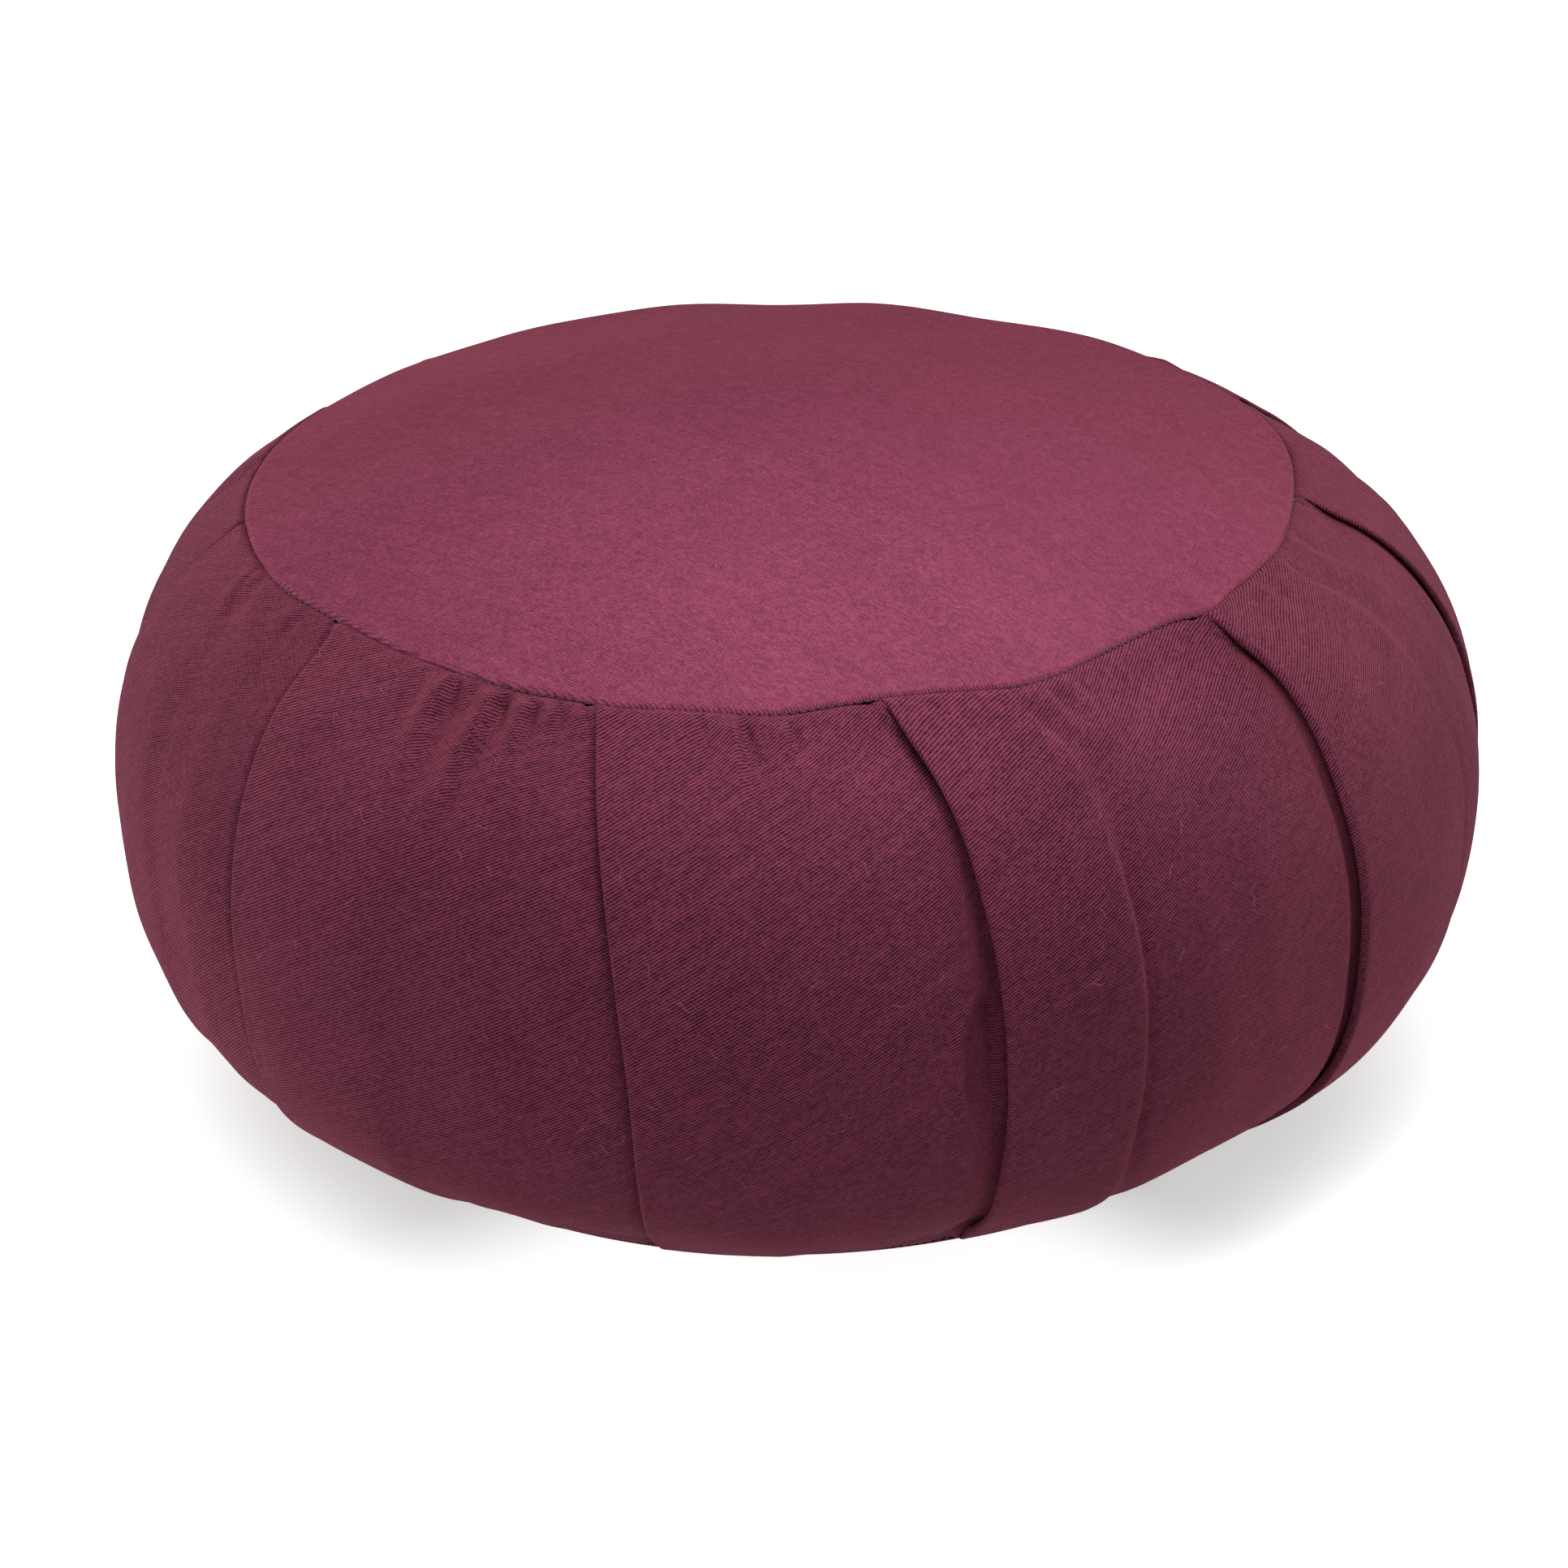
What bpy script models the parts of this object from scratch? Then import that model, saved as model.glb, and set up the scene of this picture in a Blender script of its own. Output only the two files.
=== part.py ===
"""Zafu meditation cushion: a round floor cushion in cotton twill, standing on its flat base.

Three sewn pieces make it. The side band is one long strip, laid in knife pleats and plumped out by the
filling, so the band and its filling are one solid. A crowned round panel closes the top and a flat
round panel closes the base. The origin is the middle of the base, on the floor, and -Y is the front.
"""

import math

import bmesh
import bpy
import numpy as np

# Overall shape, metres
SEAM_HEIGHT = 0.1423
CROWN_RISE = 0.015
CROWN_POWER = 2.2
PLEAT_THICK = 0.0022
PRESSED = 0.4
TIGHT_GAP = 0.0006
PANEL_PUFF = 0.0012
CLOTH_THICK = 0.002
CLEARANCE = 0.0005

# The top seam ring stands a little to the left of the base and leans with the filling
RING_SHIFT = (-0.0074, 0.0020)
RING_SHIFT_REACH = 0.55
RING_LEAN = (-0.0113, -0.0043)
OUT_OF_ROUND = (0.0041, -0.0332, 0.0081, 0.0031)

# Side outline of the filled band, from the top seam to the floor
SIDE = [
    # radius, height
    (0.1263, 0.1423),
    (0.1409, 0.1315),
    (0.1530, 0.1176),
    (0.1612, 0.1015),
    (0.1652, 0.0838),
    (0.1653, 0.0655),
    (0.1629, 0.0472),
    (0.1558, 0.0307),
    (0.1429, 0.0182),
    (0.1272, 0.0079),
    (0.1145, 0.0000),
]

# Share of the side outline at which the band ends in the base seam
BASE_SEAM = 0.94

# Knife pleats: each fold edge faces left, and the panel on its right lies on top
PLEATS = [
    # fold edge angle in degrees at the heights in PLEAT_SHARES, depth in degrees, gap in metres
    {"edge": (11.0, 13.5, 15.2, 15.5, 14.5, 14.0), "depth": (13.0, 13.5, 12.5), "gap": (0.0009, 0.0024, 0.0010)},
    {"edge": (54.0, 55.0, 53.8, 53.4, 53.0, 49.0), "depth": (18.0, 23.0, 19.0), "gap": (0.0012, 0.0022, 0.0014)},
    {"edge": (90.0, 91.5, 94.0, 94.5, 94.0, 92.0), "depth": (15.0, 17.0, 15.0), "gap": (0.0018, 0.0012, 0.0007)},
    {"edge": (120.0, 121.0, 122.0, 122.0, 121.0, 119.0), "depth": (14.0, 16.0, 14.0), "gap": (0.0006, 0.0009, 0.0007)},
    {"edge": (147.0, 148.0, 149.0, 150.0, 150.0, 148.0), "depth": (15.0, 15.0, 14.0), "gap": (0.0008, 0.0014, 0.0008)},
    {"edge": (178.0, 178.5, 179.0, 179.0, 178.0, 177.0), "depth": (15.0, 17.0, 15.0), "gap": (0.0006, 0.0007, 0.0006)},
    {"edge": (211.0, 211.0, 210.5, 210.0, 209.0, 209.0), "depth": (16.0, 18.0, 15.0), "gap": (0.0009, 0.0016, 0.0010)},
    {"edge": (245.0, 245.5, 246.0, 246.0, 246.0, 245.0), "depth": (15.0, 16.0, 14.0), "gap": (0.0006, 0.0009, 0.0006)},
    {"edge": (281.0, 279.5, 274.0, 273.0, 274.0, 276.0), "depth": (12.0, 21.0, 20.0), "gap": (0.0006, 0.0008, 0.0007)},
    {"edge": (309.5, 309.5, 310.0, 310.3, 310.5, 311.0), "depth": (16.0, 15.0, 14.0), "gap": (0.0006, 0.0006, 0.0006)},
    {"edge": (342.5, 343.5, 345.5, 346.6, 347.0, 346.0), "depth": (13.5, 14.0, 13.0), "gap": (0.0006, 0.0006, 0.0006)},
]
PLEAT_SHARES = (0.0, 0.1, 0.3, 0.5, 0.7, 0.94)
DEPTH_SHARES = (0.05, 0.40, 0.80)

# How far the stitches draw the top seam ring in, around the cushion
SEAM_DRAW = [
    # angle in degrees, distance in metres
    (0.0, 0.0),
    (12.0, 0.0049),
    (25.0, 0.0),
    (30.0, 0.0004),
    (45.0, 0.0048),
    (55.0, 0.0005),
    (64.0, 0.0016),
    (75.0, 0.0009),
    (87.0, 0.0018),
    (105.0, 0.0),
    (132.0, 0.0012),
    (140.0, 0.0),
    (154.0, 0.0014),
    (168.0, 0.0),
    (178.0, 0.0010),
    (190.0, 0.0),
    (204.0, 0.0012),
    (214.0, 0.0),
    (231.0, 0.0012),
    (262.0, 0.0),
    (288.0, -0.0007),
    (300.0, 0.0),
    (310.0, 0.0022),
    (330.0, 0.0010),
    (345.0, -0.0003),
    (350.0, 0.0009),
]
SEAM_DRAW_REACH = 0.16

# Heights of the band's cross sections, as shares of the side outline
STATIONS = (
    0.0, 0.012, 0.032, 0.06, 0.10, 0.15, 0.20, 0.26, 0.32, 0.38, 0.44,
    0.50, 0.56, 0.62, 0.68, 0.74, 0.80, 0.86, 0.90, 0.928, 0.94,
)

# Near a seam the pleats are pressed: flat up to the first share, and full from the second
SEWN_FLAT = 0.0125
PLEAT_FADE = 0.06

# Groove that the stitches pull along each seam
GROOVE_DEPTH = 0.0027
LEDGE = 0.0026

# The round panels
PANEL_SIDES = 72
TOP_RINGS = (0.2, 0.4, 0.6, 0.77, 0.89, 0.965)
FLAT_RADIUS = 0.110
INNER_RINGS = (0.90, 0.66, 0.36)
SEAM_GAP = 0.0006


def ease(value, low, high):
    """Rises smoothly from 0 at low to 1 at high."""
    t = min(max((value - low) / (high - low), 0.0), 1.0)
    return t * t * (3.0 - 2.0 * t)


def between(value, places, sizes):
    """Size at a place, read off a table in straight steps."""
    return float(np.interp(value, places, sizes))


def around(angle, rows):
    """Size at an angle in degrees, from rows of angle and size that run once round."""
    places = [row[0] for row in rows]
    sizes = [row[1] for row in rows]
    return float(np.interp(angle % 360.0, places, sizes, period=360.0))


def side_outline(share):
    """Radius, height and outward slope of the plain side at a share of its length."""
    rows = np.array(SIDE)
    steps = np.hypot(*np.diff(rows, axis=0).T)
    along = np.concatenate(([0.0], np.cumsum(steps)))
    place = min(max(share, 0.0), 1.0) * along[-1]
    index = min(int(np.searchsorted(along, place, side="right")) - 1, len(rows) - 2)
    before = rows[index - 1] if index > 0 else 2.0 * rows[0] - rows[1]
    after = rows[index + 2] if index + 2 < len(rows) else 2.0 * rows[-1] - rows[-2]
    start, end = rows[index], rows[index + 1]
    t = (place - along[index]) / (along[index + 1] - along[index])
    a = 2.0 * start
    b = end - before
    c = 2.0 * before - 5.0 * start + 4.0 * end - after
    d = -before + 3.0 * start - 3.0 * end + after
    point = 0.5 * (a + b * t + c * t * t + d * t ** 3)
    run = 0.5 * (b + 2.0 * c * t + 3.0 * d * t * t)
    run = run / np.hypot(*run)
    return float(point[0]), float(point[1]), (float(-run[1]), float(run[0]))


def leaned(x, y, height):
    """Height of a point once the cushion leans a little, which its base doesn't."""
    lean = RING_LEAN[0] * x + RING_LEAN[1] * y
    return height + lean * min(max(height / SEAM_HEIGHT, 0.0), 1.0)


def cushion_point(share, angle, lift=0.0, inward=0.0, drop=0.0):
    """Point on the side, lifted along its slope, then moved in towards the middle and down."""
    radius, height, slope = side_outline(share)
    turn = math.radians(angle)
    round_2, skew_2, round_3, skew_3 = OUT_OF_ROUND
    radius *= 1.0 + round_2 * math.cos(2 * turn) + skew_2 * math.sin(2 * turn) \
        + round_3 * math.cos(3 * turn) + skew_3 * math.sin(3 * turn)
    radius -= around(angle, SEAM_DRAW) * (1.0 - ease(share, 0.0, SEAM_DRAW_REACH))
    radius += lift * slope[0] - inward
    shift = max(1.0 - share / RING_SHIFT_REACH, 0.0) ** 1.5
    x = radius * math.sin(turn) + shift * RING_SHIFT[0]
    y = -radius * math.cos(turn) + shift * RING_SHIFT[1]
    return (x, y, leaned(x, y, height + lift * slope[1] - drop))


def pleat_size(pleat, share):
    """Depth in degrees and gap in metres of a pleat at a share of the side."""
    depth = between(share, DEPTH_SHARES, pleat["depth"])
    gap = between(share, DEPTH_SHARES, pleat["gap"])
    return depth, gap


def section(share):
    """Angles and lifts of the band's outline at a share of the side, once round."""
    above_base = BASE_SEAM - share
    inside = ease(share, 0.0, PLEAT_FADE) * ease(above_base, 0.0, PLEAT_FADE)
    slot = ease(share, SEWN_FLAT, PLEAT_FADE) * ease(above_base, SEWN_FLAT, PLEAT_FADE)
    thick = PLEAT_THICK * (PRESSED + (1.0 - PRESSED) * inside)
    puff = PANEL_PUFF * math.sin(math.pi * min(max(share / BASE_SEAM, 0.0), 1.0))
    step = 0.9 * thick
    level = 0.5 * step * (1.0 - inside)
    angles = []
    lifts = []
    count = len(PLEATS)
    for index, pleat in enumerate(PLEATS):
        following = PLEATS[(index + 1) % count]
        edge = between(share, PLEAT_SHARES, pleat["edge"])
        next_edge = between(share, PLEAT_SHARES, following["edge"]) + (360.0 if index == count - 1 else 0.0)
        depth, _ = pleat_size(pleat, share)
        reach, wide_gap = pleat_size(following, share)
        gap = max(wide_gap * inside, TIGHT_GAP)
        tight = max(0.45 * wide_gap * inside, TIGHT_GAP)
        open_panel = edge + depth + 2.5
        run = next_edge - 4.0 - open_panel
        rows = [
            # angle, lift
            (edge, -0.5 * thick),
            (edge + 0.4, 0.0),
            (edge + 0.5 * depth, 0.5 * puff),
            (edge + depth - 2.5, 0.3 * puff),
            (open_panel, -step),
            (open_panel + 0.33 * run, puff - step),
            (open_panel + 0.67 * run, puff - step),
            (open_panel + run, 0.6 * puff - step),
            (next_edge - 1.6, -step - 0.35 * gap),
        ]
        slit = [
            # angle past the fold edge when pressed flat, when folded, lift when pressed, when folded
            (-1.10, 0.3, -thick - gap, -thick - gap),
            (-0.90, 0.45 * reach, -1.25 * thick, -thick - tight),
            (-0.70, 0.85 * reach, -1.12 * thick, -thick - tight),
            (-0.54, reach, -1.00 * thick, -thick - 0.5 * tight),
            (-0.40, 0.85 * reach, -0.88 * thick, -thick),
            (-0.26, 0.45 * reach, -0.75 * thick, -thick),
            (-0.13, 0.4, -0.62 * thick, -thick),
        ]
        for pressed, folded, flat, lift in slit:
            angle = next_edge + pressed * (1.0 - slot) + folded * slot
            rows.append((angle, flat * (1.0 - slot) + lift * slot))
        angles += [row[0] for row in rows]
        lifts += [row[1] + level for row in rows]
    return angles, lifts


SECTION_ROWS = 16
UNDER_FLAP = (12, 13, 14)


def band_rings():
    """The band's cross sections from the top seam down, each a list of points."""
    rings = []
    for share in STATIONS:
        angles, lifts = section(share)
        rings.append([cushion_point(share, angle, lift) for angle, lift in zip(angles, lifts)])
    return rings


def seam_lip(share, side):
    """Two rings that turn in from a seam: the bottom of the groove and the inner edge of its ledge."""
    rows = list(zip(*section(share)))
    groove = [cushion_point(share, angle, lift, 0.0002, side * GROOVE_DEPTH) for angle, lift in rows]
    drop = side * (GROOVE_DEPTH + 0.0004)
    ledge = [cushion_point(share, angle, lift, LEDGE, drop) for angle, lift in rows]
    return groove, ledge


def crown_height(share_out):
    """Height of the crown above the seam, at a share of the way out from the middle."""
    return CROWN_RISE * (1.0 - share_out ** CROWN_POWER)


def disc_point(share, share_out, angle, rise):
    """Point inside a seam ring, at a share of the way out from the ring's middle, lifted by rise."""
    rim = cushion_point(share, angle)
    shift = max(1.0 - share / RING_SHIFT_REACH, 0.0) ** 1.5
    middle = (shift * RING_SHIFT[0], shift * RING_SHIFT[1])
    _, height, _ = side_outline(share)
    x = middle[0] + (rim[0] - middle[0]) * share_out
    y = middle[1] + (rim[1] - middle[1]) * share_out
    return (x, y, leaned(x, y, height + rise))


def base_height(share_out):
    """Height of the base panel's underside: flat in the middle, rising to the base seam."""
    _, seam_height, _ = side_outline(BASE_SEAM)
    flat = FLAT_RADIUS / side_outline(BASE_SEAM)[0]
    if share_out <= flat:
        return 0.0
    return seam_height * ((share_out - flat) / (1.0 - flat)) ** 1.4


def add_ring(mesh, points):
    """Adds one ring of vertices."""
    return [mesh.verts.new(point) for point in points]


def add_strip(mesh, upper, lower, per_repeat=0, reverse=()):
    """Triangles between two rings of the same count, with the chosen quads split the other way."""
    count = len(upper)
    for index in range(count):
        after = (index + 1) % count
        a, b, c, d = upper[index], upper[after], lower[after], lower[index]
        if per_repeat and index % per_repeat in reverse:
            mesh.faces.new((a, d, b))
            mesh.faces.new((b, d, c))
        else:
            mesh.faces.new((a, d, c))
            mesh.faces.new((a, c, b))


def add_reduction(mesh, fine, coarse, outward):
    """Triangles between a ring and a coarser one that has one point for each group of points."""
    group = len(fine) // len(coarse)
    for index, near in enumerate(coarse):
        start = index * group
        after = coarse[(index + 1) % len(coarse)]
        fan = [fine[(start + step) % len(fine)] for step in range(group + 1)]
        for first, second in zip(fan, fan[1:]):
            mesh.faces.new((near, first, second) if outward else (near, second, first))
        mesh.faces.new((near, fan[-1], after) if outward else (near, after, fan[-1]))


def add_cap(mesh, ring, middle, outward):
    """Closes a ring with triangles to its middle."""
    centre = mesh.verts.new(middle)
    for index, point in enumerate(ring):
        after = ring[(index + 1) % len(ring)]
        mesh.faces.new((centre, point, after) if outward else (centre, after, point))


def finish_object(name, mesh, collection, material):
    """Turns the built mesh into a smooth-shaded object."""
    data = bpy.data.meshes.new(name)
    mesh.normal_update()
    mesh.to_mesh(data)
    mesh.free()
    data.materials.append(material)
    data.shade_smooth()
    data.set_sharp_from_angle(angle=math.radians(40.0))
    made = bpy.data.objects.new(name, data)
    collection.objects.link(made)
    return made


def cloth_material(name, colour, roughness):
    """Matte woven cotton."""
    material = bpy.data.materials.new(name)
    material.use_nodes = True
    shader = material.node_tree.nodes["Principled BSDF"]
    shader.inputs["Base Color"].default_value = (*colour, 1.0)
    shader.inputs["Roughness"].default_value = roughness
    shader.inputs["Metallic"].default_value = 0.0
    return material


def inner_heights(rim_share, heights, angles):
    """Rings of the filling under a round panel, one point for each group of the band's points."""
    rings = []
    for share_out, rise in heights:
        rings.append([disc_point(rim_share, share_out, angle, rise) for angle in angles])
    return rings


def build_band(collection, material):
    """The pleated band with its filling: one solid, closed under the top panel and over the base."""
    mesh = bmesh.new()
    rings = [add_ring(mesh, points) for points in band_rings()]
    for upper, lower in zip(rings, rings[1:]):
        add_strip(mesh, upper, lower, SECTION_ROWS, UNDER_FLAP)

    top_angles, _ = section(0.0)
    groove, ledge = [add_ring(mesh, points) for points in seam_lip(0.0, 1.0)]
    add_strip(mesh, groove, rings[0])
    add_strip(mesh, ledge, groove)
    under = CLOTH_THICK + 2.0 * CLEARANCE
    heights = [(share_out, crown_height(share_out) - under) for share_out in INNER_RINGS]
    crown = [add_ring(mesh, points) for points in inner_heights(0.0, heights, top_angles[::4])]
    add_reduction(mesh, ledge, crown[0], True)
    for outer, inner in zip(crown, crown[1:]):
        add_strip(mesh, inner, outer)
    add_cap(mesh, crown[-1], disc_point(0.0, 0.0, 0.0, CROWN_RISE - under), True)

    base_angles, _ = section(BASE_SEAM)
    groove, ledge = [add_ring(mesh, points) for points in seam_lip(BASE_SEAM, -1.0)]
    add_strip(mesh, rings[-1], groove)
    add_strip(mesh, groove, ledge)
    over = CLOTH_THICK + CLEARANCE
    flat_share = FLAT_RADIUS / side_outline(BASE_SEAM)[0]
    _, seam_height, _ = side_outline(BASE_SEAM)
    heights = [(flat_share, over - seam_height)]
    floor = [add_ring(mesh, points) for points in inner_heights(BASE_SEAM, heights, base_angles[::4])]
    add_reduction(mesh, ledge, floor[0], False)
    add_cap(mesh, floor[0], (0.0, 0.0, over), False)
    return finish_object("side_band", mesh, collection, material)


def build_panel(name, share, rings, heights, upward, collection, material):
    """A round cloth panel: an open surface with the cloth's thickness laid on its inner side."""
    mesh = bmesh.new()
    angles = [360.0 * index / PANEL_SIDES for index in range(PANEL_SIDES)]
    made = []
    for share_out, rise in zip(rings, heights):
        made.append(add_ring(mesh, [disc_point(share, share_out, angle, rise) for angle in angles]))
    for inner, outer in zip(made, made[1:]):
        if upward:
            add_strip(mesh, inner, outer)
        else:
            add_strip(mesh, outer, inner)
    middle = disc_point(share, 0.0, 0.0, heights[0] if not upward else CROWN_RISE)
    add_cap(mesh, made[0], middle, upward)
    panel = finish_object(name, mesh, collection, material)
    cloth = panel.modifiers.new("cloth", "SOLIDIFY")
    cloth.thickness = CLOTH_THICK
    cloth.offset = -1.0
    cloth.use_even_offset = False
    return panel


def build_top(collection, material):
    """The crowned top panel, turned down into the seam at its rim."""
    rim_radius = side_outline(0.0)[0]
    rim = 1.0 - (SEAM_GAP + 0.0004) / rim_radius
    turned = 1.0 - 0.0030 / rim_radius
    rings = list(TOP_RINGS) + [turned, rim]
    heights = [crown_height(share_out) for share_out in TOP_RINGS]
    heights += [crown_height(turned) - 0.0001, -0.0006]
    return build_panel("top_panel", 0.0, rings, heights, True, collection, material)


def build_base(collection, material):
    """The base panel: flat on the floor, with its rim rising to the base seam."""
    rim_radius, seam_height, _ = side_outline(BASE_SEAM)
    rim = 1.0 - (SEAM_GAP + 0.0004) / rim_radius
    flat = FLAT_RADIUS / rim_radius
    rings = [0.5 * flat, flat, 0.5 * (flat + rim), rim]
    heights = [base_height(share_out) - seam_height for share_out in rings]
    return build_panel("base_panel", BASE_SEAM, rings, heights, False, collection, material)


def main():
    for old in list(bpy.data.objects):
        bpy.data.objects.remove(old, do_unlink=True)
    collection = bpy.data.collections.new("zafu_cushion")
    bpy.context.scene.collection.children.link(collection)
    build_band(collection, cloth_material("band_twill", (0.118, 0.024, 0.043), 0.9))
    build_top(collection, cloth_material("top_twill", (0.165, 0.034, 0.060), 0.9))
    build_base(collection, cloth_material("base_twill", (0.118, 0.024, 0.043), 0.9))


main()
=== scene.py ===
"""Zafu meditation cushion in plum cotton twill: looks, studio and camera."""
import math

import bpy
import numpy as np
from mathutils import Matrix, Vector


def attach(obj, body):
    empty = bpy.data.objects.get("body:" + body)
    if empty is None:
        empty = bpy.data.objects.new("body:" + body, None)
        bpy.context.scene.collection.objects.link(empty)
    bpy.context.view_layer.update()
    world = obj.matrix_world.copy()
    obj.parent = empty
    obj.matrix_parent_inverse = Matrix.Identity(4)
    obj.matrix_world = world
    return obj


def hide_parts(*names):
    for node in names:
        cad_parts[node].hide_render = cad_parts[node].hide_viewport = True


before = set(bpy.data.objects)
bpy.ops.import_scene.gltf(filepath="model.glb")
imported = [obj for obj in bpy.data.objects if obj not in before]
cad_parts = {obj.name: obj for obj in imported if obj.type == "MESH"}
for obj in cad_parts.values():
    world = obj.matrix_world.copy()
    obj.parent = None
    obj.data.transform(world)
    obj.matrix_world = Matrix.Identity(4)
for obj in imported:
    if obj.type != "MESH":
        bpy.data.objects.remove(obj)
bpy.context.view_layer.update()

bl_info = {
    "name": "Zafu Meditation Cushion",
    "version": (1, 0, 0),
    "blender": (4, 5, 0),
    "location": "View3D > Sidebar > Zafu",
    "description": "Builds a knife-pleated round floor cushion with its studio",
    "category": "Add Mesh",
}

# Sizes shared with the solids, metres and degrees
SEAM_HEIGHT = 0.1423
CROWN_RISE = 0.015
CROWN_POWER = 2.2
PLEAT_THICK = 0.0022
PRESSED = 0.4
TIGHT_GAP = 0.0006
PANEL_PUFF = 0.0012
RING_SHIFT = (-0.0074, 0.0020)
RING_SHIFT_REACH = 0.55
RING_LEAN = (-0.0113, -0.0043)
OUT_OF_ROUND = (0.0041, -0.0332, 0.0081, 0.0031)
BASE_SEAM = 0.94
FLAT_RADIUS = 0.110
SEAM_DRAW_REACH = 0.16

# Side outline of the filled band, from the top seam to the floor
SIDE = [
    # radius, height
    (0.1263, 0.1423),
    (0.1409, 0.1315),
    (0.1530, 0.1176),
    (0.1612, 0.1015),
    (0.1652, 0.0838),
    (0.1653, 0.0655),
    (0.1629, 0.0472),
    (0.1558, 0.0307),
    (0.1429, 0.0182),
    (0.1272, 0.0079),
    (0.1145, 0.0000),
]

# Knife pleats, in degrees and metres: angle of the fold edge at PLEAT_SHARES, depth and gap at
# DEPTH_SHARES, rise of the twill ribs on the panel right of the fold, and how sharp its inner crease is
PLEATS = [
    {"edge": (11.0, 13.5, 15.2, 15.5, 15.2, 16.2), "depth": (13.3, 12.4, 12.0),
     "gap": (0.0024, 0.0046, 0.0014), "ribs": 27.0, "crease": 1.0},
    {"edge": (54.0, 55.0, 53.8, 53.4, 53.0, 49.0), "depth": (18.0, 23.0, 19.0),
     "gap": (0.0014, 0.0022, 0.0008), "ribs": 25.0, "crease": 0.8},
    {"edge": (90.0, 91.5, 94.0, 94.5, 94.0, 92.0), "depth": (15.0, 17.0, 15.0),
     "gap": (0.0008, 0.0008, 0.0006), "ribs": 28.0, "crease": 0.6},
    {"edge": (120.0, 121.0, 122.0, 122.0, 121.0, 119.0), "depth": (14.0, 16.0, 14.0),
     "gap": (0.0006, 0.0009, 0.0007), "ribs": 30.0, "crease": 0.4},
    {"edge": (147.0, 148.0, 149.0, 150.0, 150.0, 148.0), "depth": (15.0, 15.0, 14.0),
     "gap": (0.0008, 0.0014, 0.0008), "ribs": 30.0, "crease": 0.5},
    {"edge": (178.0, 178.5, 179.0, 179.0, 178.0, 177.0), "depth": (15.0, 17.0, 15.0),
     "gap": (0.0006, 0.0007, 0.0006), "ribs": 30.0, "crease": 0.4},
    {"edge": (211.0, 211.0, 210.5, 210.0, 209.0, 209.0), "depth": (16.0, 18.0, 15.0),
     "gap": (0.0009, 0.0016, 0.0010), "ribs": 30.0, "crease": 0.5},
    {"edge": (245.0, 245.5, 246.0, 246.0, 246.0, 245.0), "depth": (15.0, 16.0, 14.0),
     "gap": (0.0006, 0.0009, 0.0006), "ribs": 32.0, "crease": 0.4},
    {"edge": (281.0, 279.5, 274.0, 273.0, 274.0, 276.0), "depth": (12.0, 21.0, 20.0),
     "gap": (0.0006, 0.0008, 0.0007), "ribs": 34.0, "crease": 0.12},
    {"edge": (309.5, 309.5, 310.0, 310.3, 310.5, 311.0), "depth": (16.0, 15.0, 14.0),
     "gap": (0.0006, 0.0006, 0.0006), "ribs": 29.0, "crease": 0.1},
    {"edge": (342.5, 343.5, 345.5, 346.6, 346.6, 344.6), "depth": (13.5, 14.0, 13.0),
     "gap": (0.0006, 0.0006, 0.0006), "ribs": 31.0, "crease": 0.05},
]
PLEAT_SHARES = (0.0, 0.1, 0.3, 0.5, 0.7, 0.94)
DEPTH_SHARES = (0.05, 0.40, 0.80)
SEWN_FLAT = 0.0125
PLEAT_FADE = 0.06

# Shape of a pleat in section, in degrees around the cushion: how wide its fold edge is rounded, how far
# before its depth the inner step starts, and the widths of the step and of the roll under the next fold
FOLD_ROUND = 0.36
STEP_BEFORE = 0.7
STEP_WIDTH = 1.7
SOFT_STEP_WIDTH = 7.0
STEP_SHARE = 0.5
ROLL_WIDTH = 1.5
ROLL_PER_GAP = 620.0

# Points across the slit under a fold: its angle where it is sewn flat, its share of the depth where it is
# open, its drop where it is sewn flat as a share of the flap's thickness, and its share of the gap
SLIT = (
    (-0.98, 0.22, 1.25, 1.0),
    (-0.86, 0.45, 1.20, 1.0),
    (-0.72, 0.85, 1.12, 1.0),
    (-0.54, 1.00, 1.00, 0.5),
    (-0.40, 0.85, 0.88, 0.0),
    (-0.30, 0.45, 0.80, 0.0),
    (-0.20, 0.22, 0.70, 0.0),
)

# Points across each pleat: fold edge, flap, step, open panel and roll under the next fold
FRONT_PLEATS = (0, 1, 8, 9, 10)
FRONT_COLUMNS = (4, 22, 9, 62, 15)
BACK_COLUMNS = (4, 10, 6, 28, 8)

# The lens-shaped hollow left of the front fold: shares of the side, and degrees
HOLLOW_SHARES = (0.37, 0.64)
HOLLOW_EDGE = 14.9
HOLLOW_WIDTH = 2.9

# The round panels: cloth thickness, turn-down at the seam, and points round the top and the base
CLOTH_THICK = 0.0013
TURN_DOWN = 0.0012
TOP_SIDES = 520
BASE_SIDES = 240

# The band's edges inside the seams: how far in and how deep its groove and its ledge lie
SEAM_GROOVE = (0.0003, 0.0026)
SEAM_LEDGE = (0.0040, 0.0034)

# Distance by which each panel's ribs are set off from those of the one before
RIB_OFFSET = 0.0137

# Sandy grain and wear of the cloth of the band and base, and of the top
BAND_GRAIN = (0.34, 0.15)
TOP_GRAIN = (1.0, 0.85)

# Stage and framing, in metres, millimetres and shares of the frame
FLOOR_SIZE = 12.0
SENSOR_WIDTH = 36.0
CAMERA_SHIFT = (-0.0159, -0.0025)
WHITE = (1.0, 1.0, 1.0, 1.0)
BLACK = (0.0, 0.0, 0.0, 1.0)

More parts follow.
